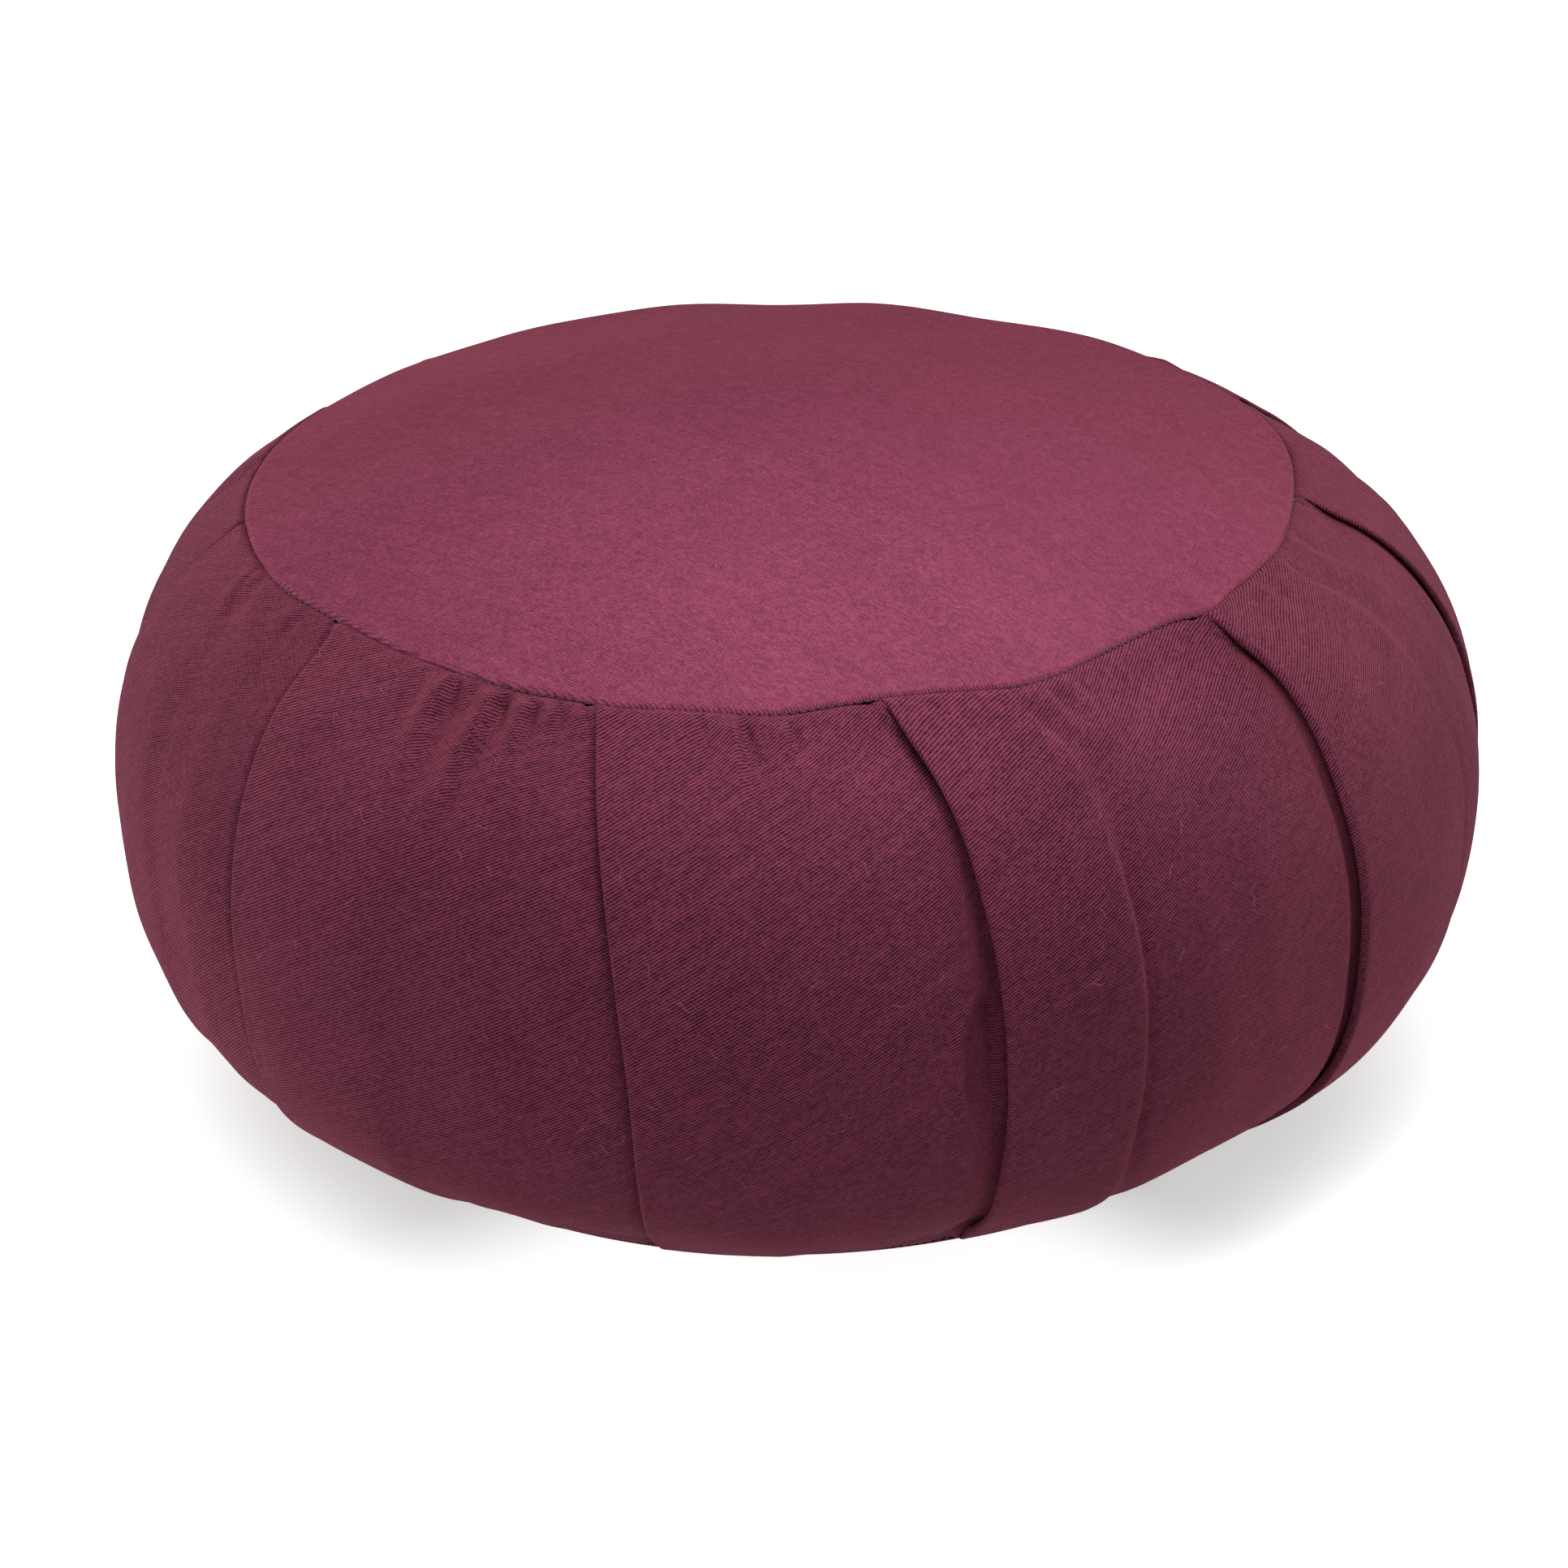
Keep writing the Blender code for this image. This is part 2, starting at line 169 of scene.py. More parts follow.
# How far the stitches draw the top seam in, around the cushion
SEAM_DRAW = [
    # angle in degrees, distance in metres
    (0, 0.0000), (5, 0.0029), (10, 0.0049), (15, 0.0048), (20, 0.0028), (25, 0.0000), (30, 0.0004),
    (35, 0.0026), (40, 0.0042), (45, 0.0048), (50, 0.0041), (55, 0.0005), (60, 0.0016),
    (65, 0.0015), (70, 0.0011), (75, 0.0009), (80, 0.0014), (85, 0.0018), (90, 0.0016),
    (95, 0.0012), (105, 0.0), (120, 0.0004), (132, 0.0012), (140, 0.0), (154, 0.0014), (168, 0.0),
    (178, 0.0010), (190, 0.0), (204, 0.0012), (214, 0.0), (231, 0.0012), (262, 0.0), (285, -0.0006),
    (290, -0.0007), (295, -0.0005), (300, 0.0), (305, 0.0016), (310, 0.0022), (315, 0.0019),
    (320, 0.0016), (325, 0.0013), (330, 0.0010), (335, 0.0004), (340, 0.0006), (345, -0.0004),
    (350, 0.0009), (355, 0.0005),
]

# Short tucks where the band is gathered into the top seam
TUCKS = [
    # angle, share of the side reached, height in metres, width to its left and lean in degrees
    (-66.0, 0.14, 0.0006, 1.6, -3.0), (-57.0, 0.09, 0.0007, 1.4, -1.5),
    (-33.6, 0.17, 0.0026, 1.3, -1.2), (-31.0, 0.06, 0.0008, 0.9, -0.5),
    (-28.0, 0.30, 0.0024, 1.4, -4.0), (-24.6, 0.13, 0.0022, 1.1, -1.0),
    (-21.5, 0.08, 0.0015, 1.0, -0.6), (-18.5, 0.04, 0.0006, 0.8, 0.0),
    (-8.0, 0.05, 0.0006, 1.0, 0.0), (-4.2, 0.17, 0.0028, 1.4, 0.8), (0.4, 0.09, 0.0019, 1.1, 0.6),
    (5.5, 0.05, 0.0006, 1.0, 0.5), (17.0, 0.05, 0.0005, 1.0, 0.5), (27.5, 0.10, 0.0011, 1.5, 2.0),
    (31.0, 0.06, 0.0008, 1.2, 1.5), (36.0, 0.05, 0.0005, 1.2, 1.0), (47.0, 0.06, 0.0006, 1.3, 1.0),
    (64.0, 0.07, 0.0008, 1.6, 1.0), (78.0, 0.09, 0.0008, 2.0, 2.0), (105.0, 0.12, 0.0011, 2.4, 2.0),
    (134.0, 0.11, 0.0011, 2.2, 2.0), (163.0, 0.14, 0.0013, 2.4, 0.0),
    (196.0, 0.14, 0.0012, 2.3, 0.0), (228.0, 0.12, 0.0011, 2.2, -2.0),
    (262.0, 0.13, 0.0012, 2.4, -2.0),
]

# Soft upright wrinkles
WRINKLES = [
    # angle, share where it starts, share where it ends, height in metres, width and lean in degrees
    (-78.0, 0.05, 0.60, 0.0005, 1.2, -4.0), (-74.0, 0.10, 0.70, -0.0004, 1.4, -3.0),
    (-70.5, 0.04, 0.66, 0.0005, 1.1, -3.0), (-62.0, 0.05, 0.45, 0.0004, 1.2, -3.0),
    (-56.5, 0.02, 0.50, 0.0005, 1.3, -4.0), (-46.0, 0.05, 0.35, 0.0005, 1.5, -4.0),
    (-31.0, 0.05, 0.55, 0.0006, 1.3, -6.0), (-25.0, 0.02, 0.40, 0.0005, 1.4, -4.0),
    (-7.0, 0.10, 0.75, 0.0007, 1.6, 1.0), (-1.5, 0.08, 0.70, 0.0006, 1.4, 3.0),
    (4.0, 0.15, 0.85, -0.0005, 1.5, 1.0), (8.5, 0.30, 0.90, 0.0003, 2.2, 0.0),
    (21.0, 0.10, 0.60, -0.0004, 1.8, 2.0), (34.0, 0.06, 0.80, 0.0005, 1.8, 3.0),
    (41.0, 0.10, 0.70, 0.0005, 1.7, 2.0), (63.0, 0.10, 0.60, 0.0006, 1.5, 3.0),
    (82.0, 0.05, 0.60, 0.0008, 1.5, 2.0), (86.0, 0.05, 0.50, -0.0006, 1.3, 2.0),
    (108.0, 0.05, 0.60, 0.0006, 1.6, 2.0), (137.0, 0.08, 0.70, 0.0006, 1.8, 0.0),
    (170.0, 0.06, 0.60, 0.0007, 1.6, 2.0), (200.0, 0.06, 0.70, 0.0006, 1.6, 0.0),
    (222.0, 0.05, 0.50, 0.0006, 1.5, -2.0), (258.0, 0.05, 0.60, 0.0007, 1.6, -2.0),
    (268.0, 0.10, 0.60, 0.0006, 1.5, -2.0),
]


def ease(value, low, high):
    """Rises smoothly from 0 at low to 1 at high."""
    t = np.clip((np.asarray(value, float) - low) / (high - low), 0.0, 1.0)
    return t * t * (3.0 - 2.0 * t)


def rise_and_fall(value, start, full, held, end):
    """Rises smoothly from 0 at start to 1 at full, and falls back from held to 0 at end."""
    return ease(value, start, full) * (1.0 - ease(value, held, end))


def around(angle):
    """The same angle between -180 and 180 degrees."""
    return (np.asarray(angle, float) + 180.0) % 360.0 - 180.0


def smooth_table(value, places, sizes):
    """Size at a place, read off a table along a smooth curve."""
    places = np.asarray(places, float)
    sizes = np.asarray(sizes, float)
    value = np.clip(np.asarray(value, float), places[0], places[-1])
    slope = np.gradient(sizes, places)
    index = np.clip(np.searchsorted(places, value, side="right") - 1, 0, len(places) - 2)
    width = places[index + 1] - places[index]
    t = (value - places[index]) / width
    rise = 2 * t ** 3 - 3 * t ** 2
    start = (rise + 1) * sizes[index] + (t ** 3 - 2 * t ** 2 + t) * width * slope[index]
    return start - rise * sizes[index + 1] + (t ** 3 - t ** 2) * width * slope[index + 1]


def seam_draw(angle):
    """Distance that the top seam is drawn in at an angle."""
    rows = np.array(SEAM_DRAW, float)
    rows = np.vstack([rows - (360, 0), rows, rows + (360, 0)])
    return smooth_table(around(angle), rows[:, 0], rows[:, 1])


def side_outline(share):
    """Radius, height and outward slope of the plain side at a share of its length."""
    rows = np.array(SIDE)
    along = np.concatenate(([0.0], np.cumsum(np.hypot(*np.diff(rows, axis=0).T))))
    place = np.clip(np.asarray(share, float), 0.0, 1.0) * along[-1]
    index = np.clip(np.searchsorted(along, place, side="right") - 1, 0, len(rows) - 2)
    padded = np.vstack([2 * rows[0] - rows[1], rows, 2 * rows[-1] - rows[-2]])
    before, start, end, after = (padded[index + step] for step in range(4))
    t = ((place - along[index]) / (along[index + 1] - along[index]))[..., None]
    b = end - before
    c = 2 * before - 5 * start + 4 * end - after
    d = -before + 3 * start - 3 * end + after
    point = 0.5 * (2 * start + b * t + c * t * t + d * t ** 3)
    run = 0.5 * (b + 2 * c * t + 3 * d * t * t)
    run = run / np.linalg.norm(run, axis=-1, keepdims=True)
    return point[..., 0], point[..., 1], -run[..., 1], run[..., 0]


SIDE_LENGTH = float(np.hypot(*np.diff(np.array(SIDE), axis=0).T).sum())


def leaned(x, y, height):
    """Height once the cushion leans a little, which its base doesn't."""
    return height + (RING_LEAN[0] * x + RING_LEAN[1] * y) * np.clip(height / SEAM_HEIGHT, 0.0, 1.0)


def rim_wave(angle):
    """Gentle rise and fall of the top rim, most of it behind, and one swell there."""
    turn = np.radians(angle)
    behind = 0.5 - 0.5 * np.cos(turn)
    wave = 0.6 * np.sin(11 * turn + 0.4) + 0.5 * np.sin(17 * turn + 1.9) + 0.4 * np.sin(7 * turn)
    swell = np.exp(-(around(angle - 197.0) / 13.0) ** 2)
    return 0.0004 * wave * behind ** 2 + 0.0016 * swell


def ring_shift(share):
    """How far the middle of a ring is moved to the right and back, at a share of the side."""
    part = np.clip(1.0 - np.asarray(share) / RING_SHIFT_REACH, 0.0, 1.0) ** 1.5
    return part * RING_SHIFT[0], part * RING_SHIFT[1]


def cushion_points(share, angle, lift=0.0, inward=0.0, drop=0.0):
    """Points on the side, lifted along its slope, then moved in towards the middle and down."""
    radius, height, out, up = side_outline(share)
    turn = np.radians(angle)
    round_2, skew_2, round_3, skew_3 = OUT_OF_ROUND
    radius = radius * (1.0 + round_2 * np.cos(2 * turn) + skew_2 * np.sin(2 * turn)
                       + round_3 * np.cos(3 * turn) + skew_3 * np.sin(3 * turn))
    radius = radius - seam_draw(angle) * (1.0 - ease(share, 0.0, SEAM_DRAW_REACH))
    radius = radius + lift * out - inward
    right, back = ring_shift(share)
    x = radius * np.sin(turn) + right
    y = -radius * np.cos(turn) + back
    wave = rim_wave(angle) * (1.0 - ease(share, 0.0, 0.35))
    return np.stack([x, y, leaned(x, y, height + lift * up - drop) + wave], axis=-1)


def crown_height(share_out):
    """Height of the crown above the seam, at a share of the way out."""
    return CROWN_RISE * (1.0 - share_out ** CROWN_POWER)


def disc_points(share, share_out, angle, rise):
    """Points inside a seam ring, at a share of the way out from its middle, lifted by rise."""
    rim = cushion_points(share, angle)
    right, back = ring_shift(share)
    _, height, _, _ = side_outline(share)
    x = right * (1 - share_out) + rim[..., 0] * share_out
    y = back * (1 - share_out) + rim[..., 1] * share_out
    return np.stack([x, y, leaned(x, y, height + rise)], axis=-1)


def tuck_lift(share, angle):
    """Small gathers below the top seam: each swells from the left and drops into a valley at its right."""
    lift = np.zeros_like(angle)
    for place, reach, height, width, lean in TUCKS:
        across = around(angle - place - lean * share / reach)
        left = np.exp(-(np.abs(across) / width) ** 1.5)
        right = np.exp(-(across / (0.45 * width)) ** 2)
        body = np.where(across < 0.0, left, right)
        valley = np.exp(-((across - 0.85 * width) / (0.50 * width)) ** 2)
        valley = valley + 0.45 * np.exp(-((across + 1.9 * width) / (0.8 * width)) ** 2)
        fade = rise_and_fall(share, 0.0, 0.030, 0.15 * reach, reach)
        lift = lift + 0.75 * height * (body - valley) * fade
    return lift


def side_wrinkle(share, angle):
    """Soft upright wrinkles of the panels."""
    lift = np.zeros_like(angle)
    for place, low, high, height, width, lean in WRINKLES:
        across = around(angle) - place - lean * (share - low)
        length = high - low
        fade = rise_and_fall(share, low, low + 0.35 * length, low + 0.5 * length, high)
        lift = lift + 0.45 * height * np.exp(-(across / width) ** 2) * fade
    return lift


def panel_wrinkle(share, angle):
    """Slow swell and drag of the cloth over the filling."""
    turn = np.radians(angle)
    swell = 0.45 * np.sin(7 * turn + 5.1 * share) * np.sin(6.3 * share + 1.3 * np.sin(3 * turn))
    swell += 0.30 * np.sin(13 * turn - 9.0 * share + 2.0) * np.sin(9.0 * share + 0.6)
    swell += 0.18 * np.sin(23 * turn + 12.0 * share + 0.7 * np.sin(5 * turn))
    return 0.0010 * swell * rise_and_fall(share, 0.02, 0.12, 0.84, 0.92)


def gather_ripple(share, angle):
    """Fine ripple of the cloth where it is eased into the seams."""
    turn = np.radians(angle)
    wave = np.sin(61 * turn + 1.7 * np.sin(7 * turn)) + 0.7 * np.sin(97 * turn + 2.1 * np.sin(5 * turn))
    wave *= 0.5 + 0.5 * np.sin(11 * turn + 0.8)
    near = [np.exp(-away / 0.030) * ease(away, 0.0, 0.008) for away in (share, BASE_SEAM - share)]
    return 0.00008 * wave * (near[0] + near[1])


def seam_dive(share):
    """How far the band turns in right at its seams."""
    from_top = share * SIDE_LENGTH
    from_base = (BASE_SEAM - share) * SIDE_LENGTH
    return 0.0014 * np.exp(-from_top / 0.0008) + 0.0010 * np.exp(-from_base / 0.0006)


def flap_thickness(share, index, inside):
    """How far a pleat's flap stands off the panel beside it; thinner at the seams and behind."""
    thick = PLEAT_THICK * (PRESSED + (1.0 - PRESSED) * inside)
    if index in FRONT_PLEATS:
        return thick
    return thick * (1.0 - 0.45 * (1.0 - ease(share, 0.10, 0.45)))


def fold_rows(share, index):
    """Angles and lifts across one panel, from its fold edge to the slit under the next fold."""
    count = len(PLEATS)
    pleat = PLEATS[index]
    following = PLEATS[(index + 1) % count]
    columns = FRONT_COLUMNS if index in FRONT_PLEATS else BACK_COLUMNS
    on_edge, on_flap, on_step, on_panel, on_roll = (np.linspace(0.0, 1.0, n + 1)[1:] for n in columns)
    above_base = BASE_SEAM - share
    inside = ease(share, 0.0, PLEAT_FADE) * ease(above_base, 0.0, PLEAT_FADE)
    slot = ease(share, SEWN_FLAT, PLEAT_FADE) * ease(above_base, SEWN_FLAT, PLEAT_FADE)
    thick = flap_thickness(share, index, inside)
    under = flap_thickness(share, (index + 1) % count, inside)
    puff = PANEL_PUFF * np.sin(np.pi * np.clip(share / BASE_SEAM, 0.0, 1.0))
    step = 0.9 * thick
    level = 0.5 * step * (1.0 - inside)
    edge = smooth_table(share, PLEAT_SHARES, pleat["edge"])
    next_edge = smooth_table(share, PLEAT_SHARES, following["edge"]) + 360.0 * (index == count - 1)
    depth, reach = (smooth_table(share, DEPTH_SHARES, each["depth"]) for each in (pleat, following))
    wide = smooth_table(share, DEPTH_SHARES, following["gap"]) * inside
    gap = np.maximum(wide, TIGHT_GAP)
    tight = np.maximum(0.45 * wide, TIGHT_GAP)
    crease = pleat["crease"] * (0.45 + 0.55 * ease(share, 0.08, 0.30)) * (1.0 - 0.5 * ease(share, 0.60, 0.85))
    roll = ROLL_WIDTH + ROLL_PER_GAP * max(following["gap"])

    angles, lifts = [], []

    def add(angle, lift):
        angles.append(np.broadcast_to(angle, share.shape))
        lifts.append(np.broadcast_to(lift, share.shape))

    # the rounded fold edge, from its underside round to the outer face
    for part in on_edge:
        turn = math.pi * part
        add(edge + FOLD_ROUND * (1.0 - math.sin(turn)), -0.5 * thick * (1.0 + math.cos(turn)))
    # the flap's outer face, slightly crowned behind its edge
    for part in on_flap:
        angle = edge + FOLD_ROUND + (depth - STEP_BEFORE - FOLD_ROUND) * part
        behind = np.exp(-(angle - edge) / 1.6)
        add(angle, 0.5 * puff * math.sin(0.5 * math.pi * part) - 0.0005 * behind * inside)
    # the soft step where the inner fold ends
    start = edge + depth - STEP_BEFORE
    wide_step = STEP_WIDTH + SOFT_STEP_WIDTH * (1.0 - crease) * ease(share, 0.02, 0.12)
    for part in on_step:
        fall = ease(part, 0.0, 0.45)
        valley = 0.0006 * crease * inside * math.sin(math.pi * part) * fall
        add(start + wide_step * part, 0.5 * puff - STEP_SHARE * step * fall - valley)
    # the open panel
    open_start = start + wide_step
    run = next_edge - roll - open_start
    for part in on_panel:
        fall = STEP_SHARE + (1.0 - STEP_SHARE) * ease(part, 0.0, 0.6)
        add(open_start + run * part, 0.5 * puff - step * fall + puff * math.sin(math.pi * part) * 0.6)
    # the roll down under the next fold
    for part in on_roll:
        down = ease(part, 0.0, 1.0) ** 1.8
        add(next_edge - roll + (roll + 0.3 * slot - 1.1 * (1.0 - slot)) * part,
            (0.5 * puff - step) * (1.0 - down) - (under + gap) * down)
    # the slit: its floor, end and ceiling, and back to the next fold edge
    for sewn_angle, open_share, sewn_drop, gap_share in SLIT:
        add(next_edge + sewn_angle * (1.0 - slot) + open_share * reach * slot,
            -sewn_drop * under * (1.0 - slot) - (under + gap_share * tight) * slot)
    add(next_edge - 0.10 * (1.0 - slot) + FOLD_ROUND * slot, -0.60 * under * (1.0 - slot) - under * slot)
    lifts = np.stack(lifts, axis=1) + level[:, None]
    return np.stack(angles, axis=1), lifts, 0.5 * (edge + next_edge), sum(columns[:4])


def hollow_lift(share, angle):
    """The lens-shaped hollow left of the front fold, where the cloth is pulled under it."""
    top, bottom = HOLLOW_SHARES
    angle = around(angle)
    part = np.clip((share - top) / (bottom - top), 0.0, 1.0)
    border = HOLLOW_EDGE - HOLLOW_WIDTH * np.sin(math.pi * part ** 0.75) ** 0.8
    inside = rise_and_fall(angle, border - 0.10, border + 0.40, HOLLOW_EDGE - 0.1, HOLLOW_EDGE + 0.5)
    swell = np.exp(-((angle - border + 0.5) / 0.6) ** 2)
    depth = rise_and_fall(part, 0.0, 0.12, 0.42, 0.92)
    return (0.0006 * swell - 0.0034 * inside) * depth * (share > top) * (share < bottom)


def band_stations():
    """Shares of the side at which the band's sections lie, closer near the seams."""
    top = np.array([0.0, 0.0022, 0.0045, 0.008, 0.0125, 0.018, 0.024, 0.031, 0.039, 0.048])
    middle = np.linspace(0.058, BASE_SEAM - 0.058, 76)
    return np.concatenate([top, middle, BASE_SEAM - top[::-1]])


class Surface:
    """Grid of points that becomes a mesh, with a flat cloth coordinate at each corner."""

    def __init__(self):
        self.points = []
        self.total = 0
        self.faces = []
        self.weave = []

    def add_points(self, points):
        """Adds points and returns their numbers in the same arrangement."""
        flat = points.reshape(-1, 3)
        index = self.total + np.arange(len(flat))
        self.points.append(flat)
        self.total += len(flat)
        return index.reshape(points.shape[:-1])

    def add_faces(self, corners, weave, flip=False):
        """Adds faces with their cloth coordinates."""
        if flip:
            corners = corners[:, ::-1]
            weave = weave[:, ::-1]
        self.faces += corners.tolist()
        self.weave.append(weave.reshape(-1, 2))

    def add_grid(self, points, cloth, flip=False):
        """Adds rows of points joined all round; cloth has one column more, or both ends of each quad."""
        index = self.add_points(points)
        index = np.concatenate([index, index[:, :1]], axis=1)
        if cloth.ndim == 4:
            left, right = cloth[:, :, 0], cloth[:, :, 1]
        else:
            left, right = cloth[:, :-1], cloth[:, 1:]
        quads = np.stack([index[:-1, :-1], index[1:, :-1], index[1:, 1:], index[:-1, 1:]], axis=-1)
        weave = np.stack([left[:-1], left[1:], right[1:], right[:-1]], axis=2)
        self.add_faces(quads.reshape(-1, 4), weave.reshape(-1, 4, 2), flip)
        return index

    def join(self, first, second):
        """Joins two closed rings of equal length by a plain strip."""
        quads = np.stack([first[:-1], second[:-1], second[1:], first[1:]], axis=-1)
        self.add_faces(quads, np.zeros((len(quads), 4, 2)))

    def fan(self, ring, middle, cloth=None, flip=False):
        """Fills a closed ring with triangles to its middle."""
        centre = self.add_points(np.array([middle], float))
        corners = np.stack([ring[:-1], ring[1:], np.repeat(centre, len(ring) - 1)], axis=-1)
        if cloth is None:
            cloth = np.zeros((len(ring), 2))
        centre_cloth = np.repeat(cloth.mean(axis=0)[None], len(ring) - 1, axis=0)
        self.add_faces(corners, np.stack([cloth[:-1], cloth[1:], centre_cloth], axis=1), flip)

    def make(self, name, material):
        """The finished object, smooth-shaded, with the cloth coordinate as its UV map."""
        data = bpy.data.meshes.new(name)
        data.from_pydata(np.concatenate(self.points).tolist(), [], self.faces)
        layer = data.uv_layers.new(name="cloth")
        layer.data.foreach_set("uv", np.concatenate(self.weave).reshape(-1).astype(np.float32))
        data.update()
        data.materials.append(material)
        data.shade_smooth()
        made = bpy.data.objects.new(name, data)
        bpy.context.scene.collection.objects.link(made)
        return made


def plug(tree, socket, value):
    """Links a value to a socket, or sets it."""
    source = getattr(value, "socket", value)
    if isinstance(source, bpy.types.NodeSocket):
        tree.links.new(source, socket)
    else:
        socket.default_value = value


def add_node(tree, kind, settings, values):
    """Adds a node: its settings first, then the values or links of its sockets."""
    made = tree.nodes.new(kind)
    for name, value in (settings or {}).items():
        setattr(made, name, value)
    for name, value in (values or {}).items():
        plug(tree, made.inputs[name], value)
    return made


class Value:
    """A shader value: arithmetic on it adds the Math nodes."""

    def __init__(self, look, socket):
        self.look = look
        self.socket = socket

    def math(self, operation, *values):
        """A Math node on the values given."""
        return self.look.node("ShaderNodeMath", {"operation": operation}, dict(enumerate(values)))

    def __add__(self, other):
        return self.math("ADD", self, other)

    def __mul__(self, other):
        return self.math("MULTIPLY", self, other)

    def __sub__(self, other):
        return self.math("SUBTRACT", self, other)

    def __rsub__(self, other):
        return self.math("SUBTRACT", other, self)

    def __truediv__(self, other):
        return self.math("DIVIDE", self, other)

    def __rtruediv__(self, other):
        return self.math("DIVIDE", other, self)

    def __pow__(self, other):
        return self.math("POWER", self, other)

    def __rpow__(self, other):
        return self.math("POWER", other, self)

    __radd__ = __add__
    __rmul__ = __mul__

    def floor(self):
        """The whole number below."""
        return self.math("FLOOR", self)

    def wave(self):
        """Swings from 1 to 0 and back once in each whole step."""
        turn = self * (2.0 * math.pi)
        return turn.math("COSINE", turn) * 0.5 + 0.5

    def between(self, low, high):
        """Rises smoothly from 0 at low to 1 at high."""
        return self.look.node("ShaderNodeMapRange", {"interpolation_type": "SMOOTHSTEP"},
                              {"Value": self, "From Min": low, "From Max": high})


class Look:
    """A material under construction."""

    def __init__(self, name):
        self.material = bpy.data.materials.new(name)
        self.material.use_nodes = True
        self.tree = self.material.node_tree

    def node(self, kind, settings=None, values=None, output=0):
        """Adds a node and returns one output."""
        return Value(self, add_node(self.tree, kind, settings, values).outputs[output])

    def place(self):
        """Object coordinates."""
        return self.node("ShaderNodeTexCoord", output=3)

    def x_and_y(self, vector):
        """The first two parts of a vector."""
        x = self.node("ShaderNodeSeparateXYZ", {}, {"Vector": vector})
        return x, Value(self, x.socket.node.outputs[1])

    def mix(self, factor, first, second):
        """Colour between two colours."""
        return self.node("ShaderNodeMix", {"data_type": "RGBA"}, {0: factor, 6: first, 7: second}, 2)

    def noise(self, vector, scale, detail=2.0, roughness=0.5):
        """Soft noise from 0 to 1."""
        return self.node("ShaderNodeTexNoise", {}, {"Vector": vector, "Scale": scale, "Detail": detail,
                                                    "Roughness": roughness})

    def finish(self, values):
        """Sets or links the shader's sockets and returns the material."""
        for name, value in values.items():
            plug(self.tree, self.tree.nodes["Principled BSDF"].inputs[name], value)
        return self.material


def linear(colour):
    """Scene colour of an sRGB triple from 0 to 255."""
    values = [c / 255.0 for c in colour]
    return tuple(v / 12.92 if v <= 0.04045 else ((v + 0.055) / 1.055) ** 2.4 for v in values) + (1.0,)


def twill_material(name, cushion, crest, groove, pitch, grain):
    """Cotton twill: slanting ribs of short floats with painted shade between them, fading, lint-dulled and
    faintly furry.
    """
    sandy, wear = grain
    look = Look(name)
    place = look.place()
    along, across = look.x_and_y(look.node("ShaderNodeUVMap", {"uv_map": "cloth"}))
    # the ribs, and the short floats along each of them
    waver = look.noise(place, 90.0)
    fine = look.noise(place, 900.0)
    rib_count = across / pitch + (waver - 0.5) * 0.7 + (fine - 0.5) * 0.26
    number = rib_count.floor()
    float_count = along / cushion.float_length + number * 0.31 + (fine - 0.5) * 0.3
    height = rib_count.wave() ** 0.75 * (float_count.wave() * 0.34 + 0.66)
    # uneven yarns and floats, and streaks along the ribs
    yarn = look.node("ShaderNodeTexWhiteNoise", {"noise_dimensions": "1D"}, {"W": number})
    cell = look.node("ShaderNodeCombineXYZ", {}, {"X": number, "Y": float_count.floor()})
    each = look.node("ShaderNodeTexWhiteNoise", {"noise_dimensions": "2D"}, {"Vector": cell})
    streak_place = look.node("ShaderNodeCombineXYZ", {}, {"X": along * 620.0, "Y": across * 2600.0})
    streak = look.noise(streak_place, 1.0, 3.0, 0.6)
    # fading in wide and small patches, wear, and grain
    wide = look.noise(place, 14.0, 3.0, 0.55)
    patch = look.noise(place, 60.0, 3.0, 0.6)
    speck = look.noise(place, 1500.0, 2.0, 0.65)
    mottle = look.noise(place, 330.0, 3.0, 0.65)
    worn = patch.between(0.36, 0.62) * wear
    # colour falls towards the groove colour where the ribs are low: painted shade between the ribs, over the
    # yarn's own tone
    shade = (height * (0.72 - worn * 0.55) + worn * 0.27
             + (each - 0.5) * 0.20 + (yarn - 0.5) * 0.08 + (streak - 0.5) * 0.26
             + (speck - 0.5) * sandy + (wide - 0.5) * 0.12 + (patch - 0.5) * 0.10
             + (mottle - 0.5) * (sandy * 0.45))
    colour = look.mix(shade.between(-0.10, 0.92), tuple(groove), tuple(crest))
    dust = look.noise(place, 2300.0, 2.0, 0.7)
    colour = look.mix(dust.between(0.62, 0.80) * (0.08 + 0.24 * sandy), colour, linear((196, 130, 152)))
    bump = look.node("ShaderNodeBump", {}, {"Strength": cushion.rib_relief, "Distance": 0.00022,
                                            "Height": height + (streak - 0.5) * 0.35})
    return look.finish({
        "Base Color": colour, "Roughness": height * -0.10 + 0.93, "Normal": bump, "Specular IOR Level": 0.03,
        "Sheen Weight": cushion.sheen, "Sheen Roughness": 0.45, "Sheen Tint": linear((255, 128, 148))})


def fibre_material(name, first, second, scale, detail, roughness):
    """Sewing thread or loose fibre, in two tones along its length."""
    look = Look(name)
    tone = look.noise(look.place(), scale, detail)
    return look.finish({"Base Color": look.mix(tone, linear(first), linear(second)), "Roughness": roughness})


def rib_colour(name, where, default):
    """A colour that the user can pick for the twill, from an sRGB default."""
    return bpy.props.FloatVectorProperty(
        name=name, description=f"Colour {where}", default=linear(default), size=4, min=0.0, max=1.0,
        subtype="COLOR")


def light_power(name, where, default):
    """The power of a light, which the user can change."""
    return bpy.props.FloatProperty(
        name=name, description=f"Power of the light {where}, in watts", default=default, min=0.0,
        unit="POWER")


